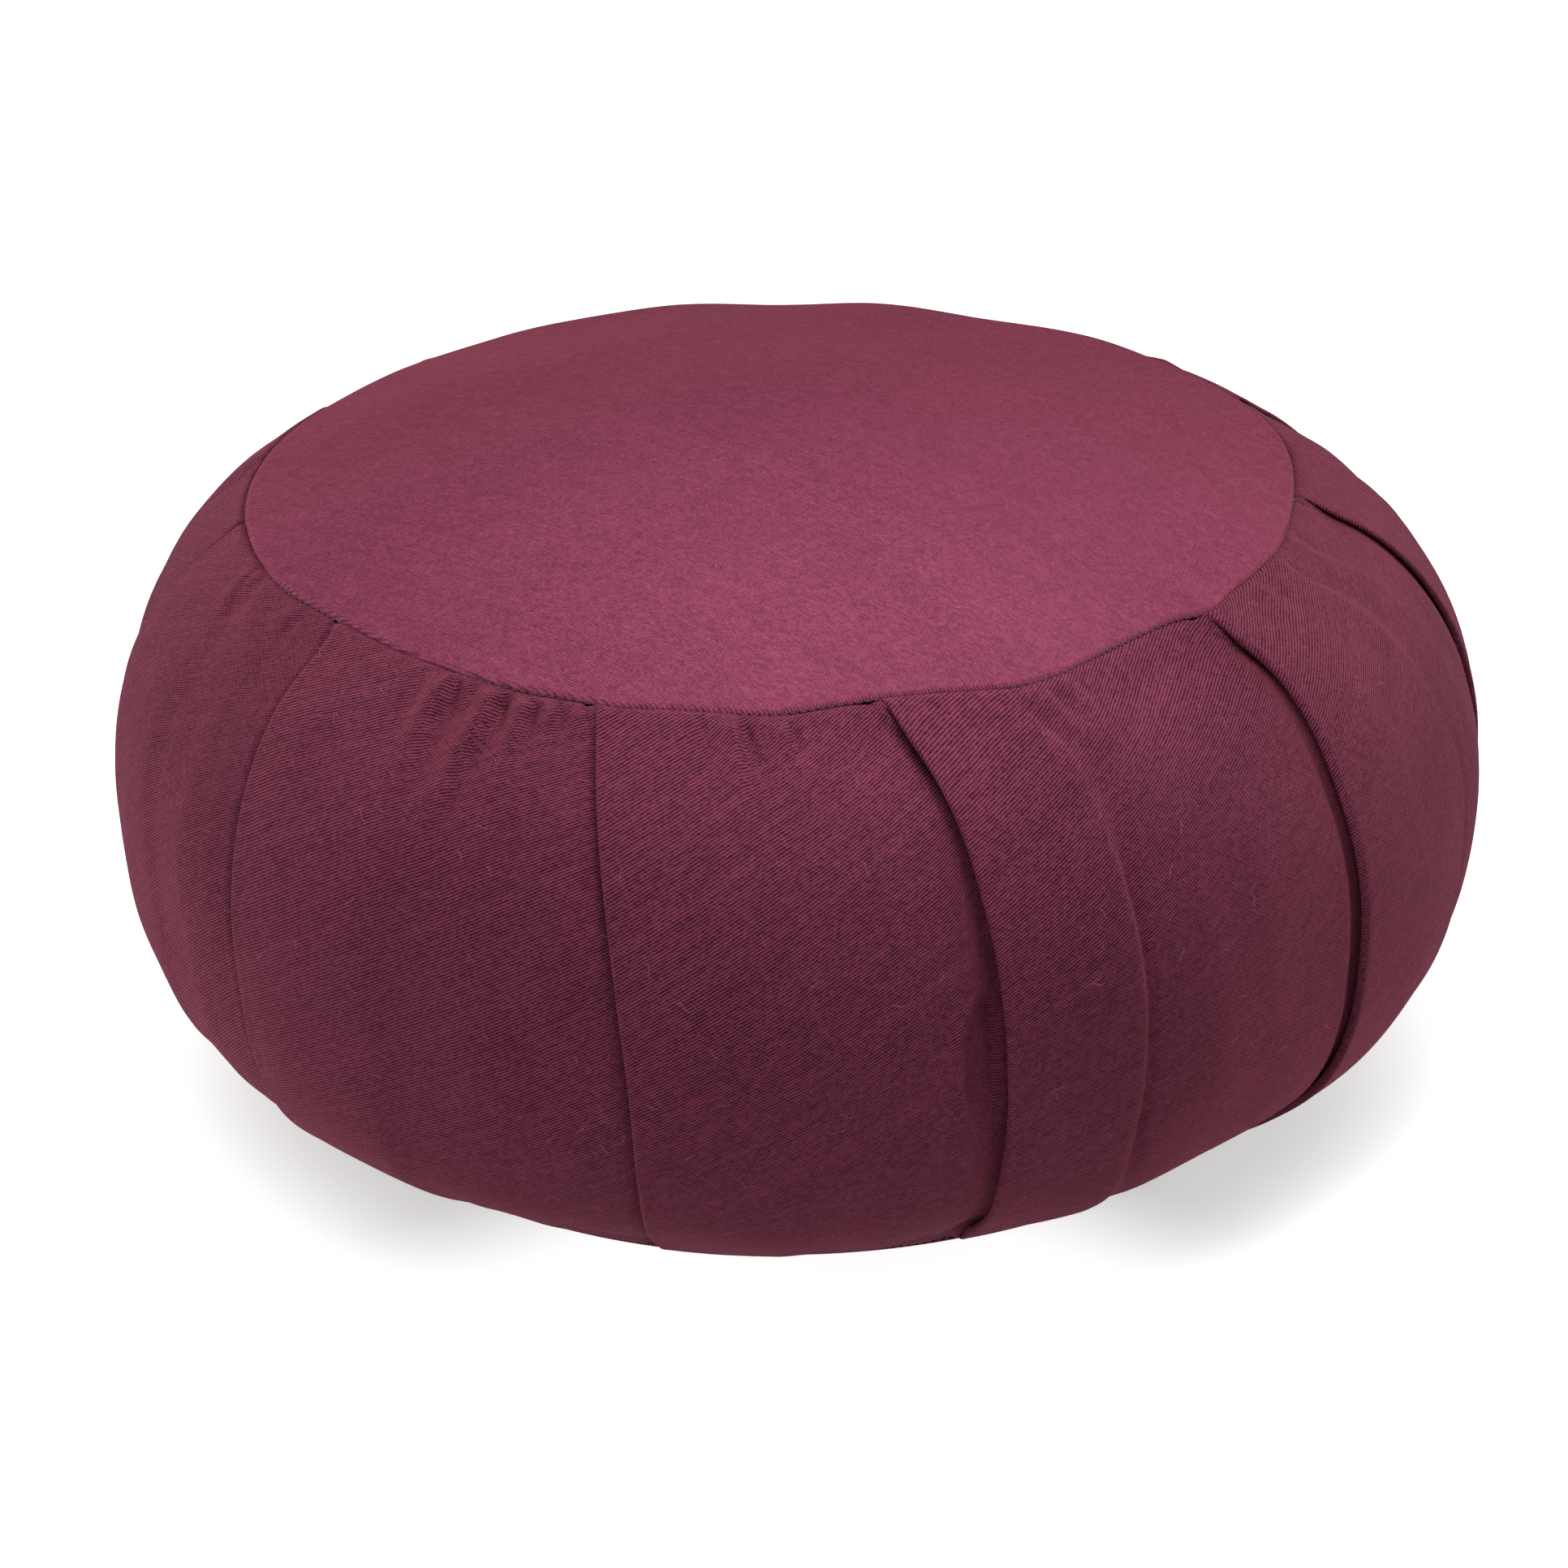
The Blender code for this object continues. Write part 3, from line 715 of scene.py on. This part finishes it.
class ZAFU_PG_cushion(bpy.types.PropertyGroup):
    """Cloth and sewing of the cushion."""

    band_crest: rib_colour("Band rib crest", "of the band's raised ribs", (124, 56, 78))
    # the groove colours are painted shade between the ribs, partly the yarn's own tone
    band_groove_shade: rib_colour("Band rib groove", "between the band's ribs", (46, 17, 27))
    top_crest: rib_colour("Top rib crest", "of the top panel's raised ribs", (132, 61, 86))
    top_groove_shade: rib_colour("Top rib groove", "between the top panel's ribs", (82, 34, 51))
    rib_pitch: bpy.props.FloatProperty(
        name="Band rib pitch", description="Distance from one twill rib to the next on the band",
        default=0.00064, min=0.0003, max=0.003, unit="LENGTH")
    top_pitch: bpy.props.FloatProperty(
        name="Top rib pitch", description="Distance from one twill rib to the next on the top panel",
        default=0.00070, min=0.0003, max=0.003, unit="LENGTH")
    float_length: bpy.props.FloatProperty(
        name="Float length", description="Length of one yarn float along a rib",
        default=0.0011, min=0.0003, max=0.005, unit="LENGTH")
    rib_relief: bpy.props.FloatProperty(
        name="Rib relief", description="Strength of the ribs' relief", default=0.75, min=0.0, max=1.0,
        subtype="FACTOR")
    sheen: bpy.props.FloatProperty(
        name="Fuzz", description="Strength of the cotton's fuzz", default=0.17, min=0.0, max=1.0,
        subtype="FACTOR")
    top_ribs: bpy.props.FloatProperty(
        name="Top rib angle", description="Fall of the top panel's ribs towards the right",
        default=math.radians(42.0), subtype="ANGLE")
    stitch_pitch: bpy.props.FloatProperty(
        name="Stitch pitch", description="Distance from one seam stitch to the next",
        default=0.0022, min=0.001, max=0.01, unit="LENGTH")
    stitch_width: bpy.props.FloatProperty(
        name="Thread", description="Thickness of the sewing thread", default=0.00042, min=0.0001,
        max=0.002, unit="LENGTH")
    lint_density: bpy.props.FloatProperty(
        name="Lint", description="Loose fibres for each square metre", default=12000.0, min=0.0)


class ZAFU_PG_studio(bpy.types.PropertyGroup):
    """Floor, lights and camera."""

    distance: bpy.props.FloatProperty(
        name="Camera distance", description="From the cushion's middle to the camera", default=1.320,
        min=0.3, unit="LENGTH")
    elevation: bpy.props.FloatProperty(
        name="Camera height", description="Angle of the camera above the floor",
        default=math.radians(25.76), subtype="ANGLE")
    lens: bpy.props.FloatProperty(
        name="Lens", description="Focal length in millimetres", default=123.83, min=10.0, unit="CAMERA")
    aim_height: bpy.props.FloatProperty(
        name="Aim height", description="Height that the camera looks at", default=0.0658, unit="LENGTH")
    key_power: light_power("Key light", "close overhead", 1.16)
    left_power: light_power("Left light", "at the left", 5.4)
    left_rear_power: light_power("Left rear light", "behind at the left", 6.8)
    right_rear_power: light_power("Right rear light", "behind at the right", 11.2)
    low_power: light_power("Low light", "that is a low strip in front", 0.49)
    surround: bpy.props.FloatProperty(
        name="Surround", description="Strength of the white surroundings", default=0.27, min=0.0)
    floor_glow: bpy.props.FloatProperty(
        name="Floor glow", description="Light that the pale floor gives off itself", default=0.93, min=0.0)


def cloth_coordinates(points, angle, middle, panel, faces, share):
    """Place on the flat cloth at both ends of each quad, turned to each panel's rib direction."""
    step = np.linalg.norm(np.diff(np.concatenate([points, points[:, :1]], axis=1), axis=1), axis=-1)
    run = np.concatenate([np.zeros((len(share), 1)), np.cumsum(step, axis=1)], axis=1)
    out = np.zeros(points.shape[:2] + (2, 2))
    for index, pleat in enumerate(PLEATS):
        columns = np.nonzero(panel == index)[0]
        first, last = columns[0], columns[-1] + 1
        # the middle of the panel, measured along the cloth
        face = slice(first, first + faces[index])
        centre = np.array([np.interp(middle[row, first], angle[row, face], run[row, face])
                           for row in range(len(share))])
        turn = math.radians(pleat["ribs"])
        for side in (0, 1):
            u = run[:, first + side:last + side] - centre[:, None]
            w = np.repeat(-share[:, None] * SIDE_LENGTH, u.shape[1], axis=1)
            out[:, first:last, side, 0] = u * math.cos(turn) + w * math.sin(turn)
            out[:, first:last, side, 1] = -u * math.sin(turn) + w * math.cos(turn) + RIB_OFFSET * index
    return out


def band_surface():
    """The pleated band's outer face as a grid, with the cloth's own coordinates."""
    share = band_stations()
    angles, lifts, middles, panels, faces = [], [], [], [], []
    for index in range(len(PLEATS)):
        angle, lift, middle, face = fold_rows(share, index)
        faces.append(face)
        angles.append(angle)
        lifts.append(lift)
        middles.append(np.repeat(middle[:, None], angle.shape[1], axis=1))
        panels.append(np.full(angle.shape[1], index))
    angle, lift, middle = (np.concatenate(rows, axis=1) for rows in (angles, lifts, middles))
    rows = np.repeat(share[:, None], angle.shape[1], axis=1)
    swell = lift + panel_wrinkle(rows, angle)
    gathers = (tuck_lift(rows, angle) + gather_ripple(rows, angle) + hollow_lift(rows, angle)
               + side_wrinkle(rows, angle) - seam_dive(rows))
    smooth = cushion_points(rows, angle, swell)
    cloth = cloth_coordinates(smooth, angle, middle, np.concatenate(panels), faces, share)
    return angle, cushion_points(rows, angle, swell + gathers), cloth


class ZAFU_OT_side_band(bpy.types.Operator):
    """Builds the knife-pleated side band with its filling"""

    bl_idname = "zafu.side_band"
    bl_label = "Side Band"

    def execute(self, context):
        cushion = context.scene.zafu_cushion
        angle, points, cloth = band_surface()
        surface = Surface()
        index = surface.add_grid(points, cloth)
        flat = np.zeros((2, len(angle[0]) + 1, 2))
        (ledge, groove), (low_ledge, low_groove) = (
            [cushion_points(share, row, inward=inward, drop=way * drop)
             for inward, drop in (SEAM_LEDGE, SEAM_GROOVE)]
            for share, row, way in ((0.0, angle[0], 1.0), (BASE_SEAM, angle[-1], -1.0)))
        top = surface.add_grid(np.stack([ledge, groove]), flat)
        surface.join(top[1], index[0])
        surface.fan(top[0], RING_SHIFT + (SEAM_HEIGHT + 0.010,), flip=True)
        base = surface.add_grid(np.stack([low_groove, low_ledge]), flat)
        surface.join(index[-1], base[0])
        surface.fan(base[1], (0.0, 0.0, 0.006))
        material = twill_material("band_twill", cushion, cushion.band_crest, cushion.band_groove_shade,
                                  cushion.rib_pitch, BAND_GRAIN)
        band = surface.make("pleated_band", material)
        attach(band, "root")
        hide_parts("side_band")
        return {"FINISHED"}


def panel_surface(share, rings, heights, sides):
    """A round panel as rings of points from the middle out."""
    angle = np.arange(sides) * 360.0 / sides
    rows = [disc_points(share, ring, angle, height) for ring, height in zip(rings, heights)]
    return angle, np.stack(rows)


def disc_cloth(points, turn, fan=0.0):
    """Cloth coordinates of a round panel; its ribs fall to the right by turn, and fan out across it."""
    x, y = points[..., 0], points[..., 1]
    along = x * math.cos(turn) - y * math.sin(turn)
    if fan:
        bend = -np.log(np.cos(turn + fan * x) / math.cos(turn)) / fan
    else:
        bend = -x * math.tan(turn)
    cloth = np.stack([along, (y + bend) * math.cos(turn)], axis=-1)
    return np.concatenate([cloth, cloth[:, :1]], axis=1)


def bake(made):
    """Turns an object and its modifiers into a plain mesh."""
    data = bpy.data.meshes.new_from_object(made.evaluated_get(bpy.context.evaluated_depsgraph_get()))
    made.modifiers.clear()
    old = made.data
    made.data = data
    bpy.data.meshes.remove(old)
    data.name = made.name


def thicken(made):
    """Gives an open panel its cloth thickness, on its inner side."""
    cloth = made.modifiers.new("cloth", "SOLIDIFY")
    cloth.thickness = CLOTH_THICK
    cloth.offset = -1.0
    bake(made)


class ZAFU_OT_top_panel(bpy.types.Operator):
    """Builds the crowned top panel"""

    bl_idname = "zafu.top_panel"
    bl_label = "Top Panel"

    def execute(self, context):
        cushion = context.scene.zafu_cushion
        radius = float(side_outline(0.0)[0])
        from_seam = np.array([0.0075, 0.0060, 0.0045, 0.0032, 0.0023, 0.0017, 0.0013, 0.0009, 0.0006, 0.0004])
        rings = np.concatenate([np.linspace(0.01, 0.93, 66), 1.0 - from_seam / radius])
        level = ease(1.0 - rings, 0.0003 / radius, 0.0013 / radius)
        heights = crown_height(rings) - TURN_DOWN * (1.0 - level) ** 2
        angle, points = panel_surface(0.0, rings, heights, TOP_SIDES)
        spin = np.radians(angle)[None, :]
        out = rings[:, None]
        x, y = points[..., 0], points[..., 1]
        swell = (0.0007 * np.sin(38 * x + 1.2 + 20 * y) * np.sin(31 * y - 14 * x)
                 + 0.0004 * np.sin(71 * x - 33 * y + 0.5) * np.sin(64 * y + 2.0))
        ripple = (0.6 * np.sin(41 * spin + 1.3 * np.sin(6 * spin))
                  + 0.4 * np.sin(67 * spin + 2.2 * np.sin(4 * spin)))
        near = np.exp(-(1.0 - out) / 0.055) * ease((1.0 - out) * radius, 0.0005, 0.0035)
        wave = rim_wave(angle)[None, :] * out ** 5
        points[..., 2] += swell * (1.0 - out ** 6) + 0.00015 * ripple * near + wave
        cloth = disc_cloth(points, cushion.top_ribs, 1.0)
        surface = Surface()
        index = surface.add_grid(points, cloth)
        surface.fan(index[0], points[0].mean(axis=0), cloth[0])
        made = surface.make("crowned_top", twill_material(
            "top_twill", cushion, cushion.top_crest, cushion.top_groove_shade, cushion.top_pitch, TOP_GRAIN))
        thicken(made)
        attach(made, "root")
        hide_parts("top_panel")
        return {"FINISHED"}


class ZAFU_OT_base_panel(bpy.types.Operator):
    """Builds the flat base panel"""

    bl_idname = "zafu.base_panel"
    bl_label = "Base Panel"

    def execute(self, context):
        cushion = context.scene.zafu_cushion
        radius, seam_height, _, _ = (float(v) for v in side_outline(BASE_SEAM))
        flat = FLAT_RADIUS / radius
        rings = np.concatenate([np.linspace(0.01, flat, 10), np.linspace(flat, 1.0 - 0.001 / radius, 10)[1:]])
        rise = np.where(rings <= flat, 0.0, seam_height * (np.clip(rings - flat, 0, 1) / (1.0 - flat)) ** 1.4)
        _, points = panel_surface(BASE_SEAM, rings, rise - seam_height, BASE_SIDES)
        cloth = disc_cloth(points, math.radians(35.0))
        surface = Surface()
        index = surface.add_grid(points, cloth, flip=True)
        surface.fan(index[0], (0.0, 0.0, 0.0), cloth[0], flip=True)
        made = surface.make("flat_base", twill_material(
            "base_twill", cushion, cushion.band_crest, cushion.band_groove_shade, cushion.rib_pitch, BAND_GRAIN))
        thicken(made)
        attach(made, "root")
        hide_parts("base_panel")
        return {"FINISHED"}


class Tree:
    """A Geometry Nodes tree under construction."""

    def __init__(self, name, inputs):
        self.tree = bpy.data.node_groups.new(name, "GeometryNodeTree")
        face = self.tree.interface
        face.new_socket("Geometry", in_out="INPUT", socket_type="NodeSocketGeometry")
        self.sockets = {label: face.new_socket(label, in_out="INPUT", socket_type=kind)
                        for label, kind in inputs.items()}
        face.new_socket("Geometry", in_out="OUTPUT", socket_type="NodeSocketGeometry")
        self.inputs = self.tree.nodes.new("NodeGroupInput").outputs

    def node(self, kind, settings=None, values=None, output=0):
        """Adds a node and returns one output."""
        return add_node(self.tree, kind, settings, values).outputs[output]

    def finish(self, geometry, material):
        """Makes the instances real, gives them their material and leads them out."""
        joined = self.node("GeometryNodeRealizeInstances", {}, {0: geometry})
        painted = self.node("GeometryNodeSetMaterial", {}, {0: joined, 2: material})
        add_node(self.tree, "NodeGroupOutput", {}, {0: painted})

    def apply(self, made, values):
        """Runs the tree on an object, which becomes a plain mesh."""
        modifier = made.modifiers.new(self.tree.name, "NODES")
        modifier.node_group = self.tree
        for label, value in values.items():
            modifier[self.sockets[label].identifier] = value
        bake(made)


def path_object(name, points):
    """A closed path as a mesh of edges."""
    count = len(points)
    data = bpy.data.meshes.new(name)
    data.from_pydata([tuple(p) for p in points], [(i, (i + 1) % count) for i in range(count)], [])
    made = bpy.data.objects.new(name, data)
    bpy.context.scene.collection.objects.link(made)
    return made


class ZAFU_OT_stitches(bpy.types.Operator):
    """Sews the stitches along the top seam and the base seam"""

    bl_idname = "zafu.stitches"
    bl_label = "Seam Stitches"

    def execute(self, context):
        cushion = context.scene.zafu_cushion
        thread = fibre_material("seam_thread", (52.0, 18.0, 29.0), (78.0, 27.0, 43.5), 1800.0, 2.0, 0.8)
        tree = Tree("seam stitches", {"Pitch": "NodeSocketFloat", "Thread": "NodeSocketFloat"})
        pitch, width = tree.inputs["Pitch"], tree.inputs["Thread"]
        curve = tree.node("GeometryNodeMeshToCurve", {}, {0: tree.inputs["Geometry"]})
        even = tree.node("GeometryNodeResampleCurve", {"mode": "LENGTH"}, {0: curve, "Length": pitch})
        points = tree.node("GeometryNodeCurveToPoints", {"mode": "EVALUATED"}, {0: even})
        bead = tree.node("GeometryNodeMeshUVSphere", {}, {"Segments": 8, "Rings": 5, "Radius": 0.5})
        turned = tree.node("FunctionNodeAlignRotationToVector", {"axis": "X"},
                           {"Vector": points.node.outputs["Tangent"]})
        length = tree.node("ShaderNodeMath", {"operation": "MULTIPLY"}, {0: pitch, 1: 0.86})
        size = tree.node("ShaderNodeCombineXYZ", {}, {0: length, 1: width, 2: width})
        placed = tree.node("GeometryNodeInstanceOnPoints", {},
                           {"Points": points, "Instance": bead, "Rotation": turned, "Scale": size})
        tree.finish(placed, thread)
        angle = np.arange(0.0, 360.0, 0.25)
        for name, share, drop in (("top_seam_stitches", 0.0, 0.0010),
                                  ("base_seam_stitches", BASE_SEAM, -0.0010)):
            path = path_object(name, cushion_points(share, angle, inward=0.0004, drop=drop))
            tree.apply(path, {"Pitch": cushion.stitch_pitch, "Thread": cushion.stitch_width})
            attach(path, "root")
        return {"FINISHED"}


class ZAFU_OT_lint(bpy.types.Operator):
    """Scatters pale loose fibres on the cloth"""

    bl_idname = "zafu.lint"
    bl_label = "Lint"

    def execute(self, context):
        cushion = context.scene.zafu_cushion
        tree = Tree("loose fibres", {"Density": "NodeSocketFloat", "Seed": "NodeSocketInt",
                                     "Fibre": "NodeSocketMaterial"})
        seed = tree.inputs["Seed"]
        spread = tree.node("GeometryNodeDistributePointsOnFaces", {"distribute_method": "RANDOM"},
                           {0: tree.inputs["Geometry"], "Density": tree.inputs["Density"], "Seed": seed})
        spin = tree.node("FunctionNodeRandomValue", {"data_type": "FLOAT"},
                         {2: 0.0, 3: 2.0 * math.pi, "Seed": seed}, 1)
        local = tree.node("FunctionNodeAxisAngleToRotation", {}, {"Axis": (0.0, 0.0, 1.0), "Angle": spin})
        facing = tree.node("FunctionNodeRotateRotation", {"rotation_space": "LOCAL"},
                           {"Rotation": spread.node.outputs["Rotation"], "Rotate By": local})
        # most fibres are short, and a few are long
        size = tree.node("FunctionNodeRandomValue", {"data_type": "FLOAT"}, {2: 0.0, 3: 1.0, "Seed": 11}, 1)
        skew = tree.node("ShaderNodeMath", {"operation": "POWER"}, {0: size, 1: 2.2})
        grown = tree.node("ShaderNodeMath", {"operation": "MULTIPLY_ADD"}, {0: skew, 1: 0.0028, 2: 0.0007})
        scale = tree.node("ShaderNodeCombineXYZ", {}, {0: grown, 1: grown, 2: 0.0012})
        bend = tree.node("GeometryNodeCurvePrimitiveBezierSegment", {},
                         {"Resolution": 5, "Start": (-0.5, 0.0, 0.06), "Start Handle": (-0.25, 0.42, 0.30),
                          "End Handle": (0.22, -0.30, 0.12), "End": (0.5, 0.10, 0.04)})
        hair = tree.node("GeometryNodeCurvePrimitiveCircle", {}, {"Resolution": 3, "Radius": 0.013})
        fibre = tree.node("GeometryNodeCurveToMesh", {}, {0: bend, 1: hair})
        placed = tree.node("GeometryNodeInstanceOnPoints", {},
                           {"Points": spread, "Instance": fibre, "Rotation": facing, "Scale": scale})
        tree.finish(placed, tree.inputs["Fibre"])
        for name, number, colour in (("pleated_band", 3, (172.0, 112.0, 131.0)),
                                     ("crowned_top", 8, (182.0, 116.0, 138.0))):
            source = bpy.data.objects[name]
            fibres = bpy.data.objects.new(name + "_lint", source.data.copy())
            context.scene.collection.objects.link(fibres)
            pale = fibre_material(name + "_lint", colour, (138.0, 74.0, 96.0), 220.0, 1.0, 0.9)
            tree.apply(fibres, {"Density": cushion.lint_density, "Seed": number, "Fibre": pale})
            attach(fibres, "root")
        return {"FINISHED"}


def area_light(name, place, aim, size, power):
    """A soft rectangular studio light aimed at a point."""
    data = bpy.data.lights.new(name, "AREA")
    data.shape = "RECTANGLE"
    data.size, data.size_y = size
    data.energy = power
    made = bpy.data.objects.new(name, data)
    made.location = place
    made.visible_camera = False
    made.rotation_euler = (Vector(aim) - Vector(place)).to_track_quat("-Z", "Y").to_euler()
    bpy.context.scene.collection.objects.link(made)


class ZAFU_OT_stage(bpy.types.Operator):
    """Sets up the pale floor, the soft light and the camera"""

    bl_idname = "zafu.stage"
    bl_label = "Stage"

    def execute(self, context):
        studio = context.scene.zafu_studio
        scene = context.scene
        bpy.ops.mesh.primitive_plane_add(size=FLOOR_SIZE, location=(0.0, 0.0, 0.0))
        floor = context.object
        floor.name = "pale_floor"
        look = Look("pale_floor")
        place = look.place()
        colour = look.mix(look.noise(place, 3.0), (0.61, 0.61, 0.61, 1.0), (0.63, 0.63, 0.63, 1.0))
        # painted shadow: the floor's own light fades under the cushion's overhang, all but the middle of the
        # front
        x, y = look.x_and_y(place)
        reach = (x * x + y * y) ** 0.5
        beside = (x * x / (reach * reach + 0.0001)).between(0.10, 0.50)
        behind = y.between(-0.06, 0.02)
        under = 1.0 - reach.between(0.125, 0.180)
        painted_shadow_mask = under * (beside * (1.0 - behind) * 0.52 + behind * 0.40)
        # the floor glows white, less where the painted shadow lies
        floor.data.materials.append(look.finish({
            "Base Color": colour, "Roughness": 0.9, "Specular IOR Level": 0.1,
            "Emission Color": look.mix(painted_shadow_mask, WHITE, BLACK), "Emission Strength": studio.floor_glow}))
        floor.visible_diffuse = False
        left, right, wide = (-0.15, 0.0, 0.08), (0.15, 0.0, 0.08), (0.5, 0.3)
        for name, place, aim, size, power in (
            ("overhead_softbox", (0.03, -0.15, 0.36), (0.03, -0.15, 0.0), (0.22, 0.18), studio.key_power),
            ("left_softbox", (-1.0, -0.15, 0.16), (-0.15, -0.03, 0.08), wide, studio.left_power),
            ("left_rear_softbox", (-1.0, 0.45, 0.20), left, wide, studio.left_rear_power),
            ("right_rear_softbox", (1.0, 0.45, 0.20), right, wide, studio.right_rear_power),
            ("front_strip", (0.0, -0.34, 0.006), (0.0, -0.12, 0.05), (0.5, 0.06), studio.low_power),
        ):
            area_light(name, place, aim, size, power)
        world = bpy.data.worlds.new("white_room")
        world.use_nodes = True
        backdrop = world.node_tree.nodes["Background"]
        backdrop.inputs["Color"].default_value = WHITE
        backdrop.inputs["Strength"].default_value = studio.surround
        scene.world = world
        scene.view_settings.view_transform = "Standard"
        data = bpy.data.cameras.new("front_camera")
        data.lens = studio.lens
        data.sensor_width = SENSOR_WIDTH
        data.shift_x, data.shift_y = CAMERA_SHIFT
        data.clip_end = 50.0
        camera = bpy.data.objects.new("front_camera", data)
        out = studio.distance * math.cos(studio.elevation)
        camera.location = (0.0, -out, studio.aim_height + studio.distance * math.sin(studio.elevation))
        camera.rotation_euler = (math.pi / 2.0 - studio.elevation, 0.0, 0.0)
        scene.collection.objects.link(camera)
        scene.camera = camera
        return {"FINISHED"}


OPERATORS = (ZAFU_OT_side_band, ZAFU_OT_top_panel, ZAFU_OT_base_panel, ZAFU_OT_stitches, ZAFU_OT_lint,
             ZAFU_OT_stage)


class ZAFU_PT_sidebar(bpy.types.Panel):
    """Lists the cushion's sizes and pieces"""

    bl_idname = "ZAFU_PT_sidebar"
    bl_label = "Zafu Cushion"
    bl_space_type = "VIEW_3D"
    bl_region_type = "UI"
    bl_category = "Zafu"

    def draw(self, context):
        for group in (context.scene.zafu_cushion, context.scene.zafu_studio):
            column = self.layout.column(align=True)
            for name in group.bl_rna.properties.keys():
                if name not in ("rna_type", "name"):
                    column.prop(group, name)
        for operator in OPERATORS:
            self.layout.operator(operator.bl_idname)


CLASSES = (ZAFU_PG_cushion, ZAFU_PG_studio) + OPERATORS + (ZAFU_PT_sidebar,)


def register():
    for entry in CLASSES:
        bpy.utils.register_class(entry)
    bpy.types.Scene.zafu_cushion = bpy.props.PointerProperty(type=ZAFU_PG_cushion)
    bpy.types.Scene.zafu_studio = bpy.props.PointerProperty(type=ZAFU_PG_studio)


def unregister():
    del bpy.types.Scene.zafu_studio
    del bpy.types.Scene.zafu_cushion
    for entry in reversed(CLASSES):
        bpy.utils.unregister_class(entry)


def main():
    register()
    for operator in OPERATORS:
        group, name = operator.bl_idname.split(".")
        getattr(getattr(bpy.ops, group), name)()


if __name__ == "__main__":
    main()
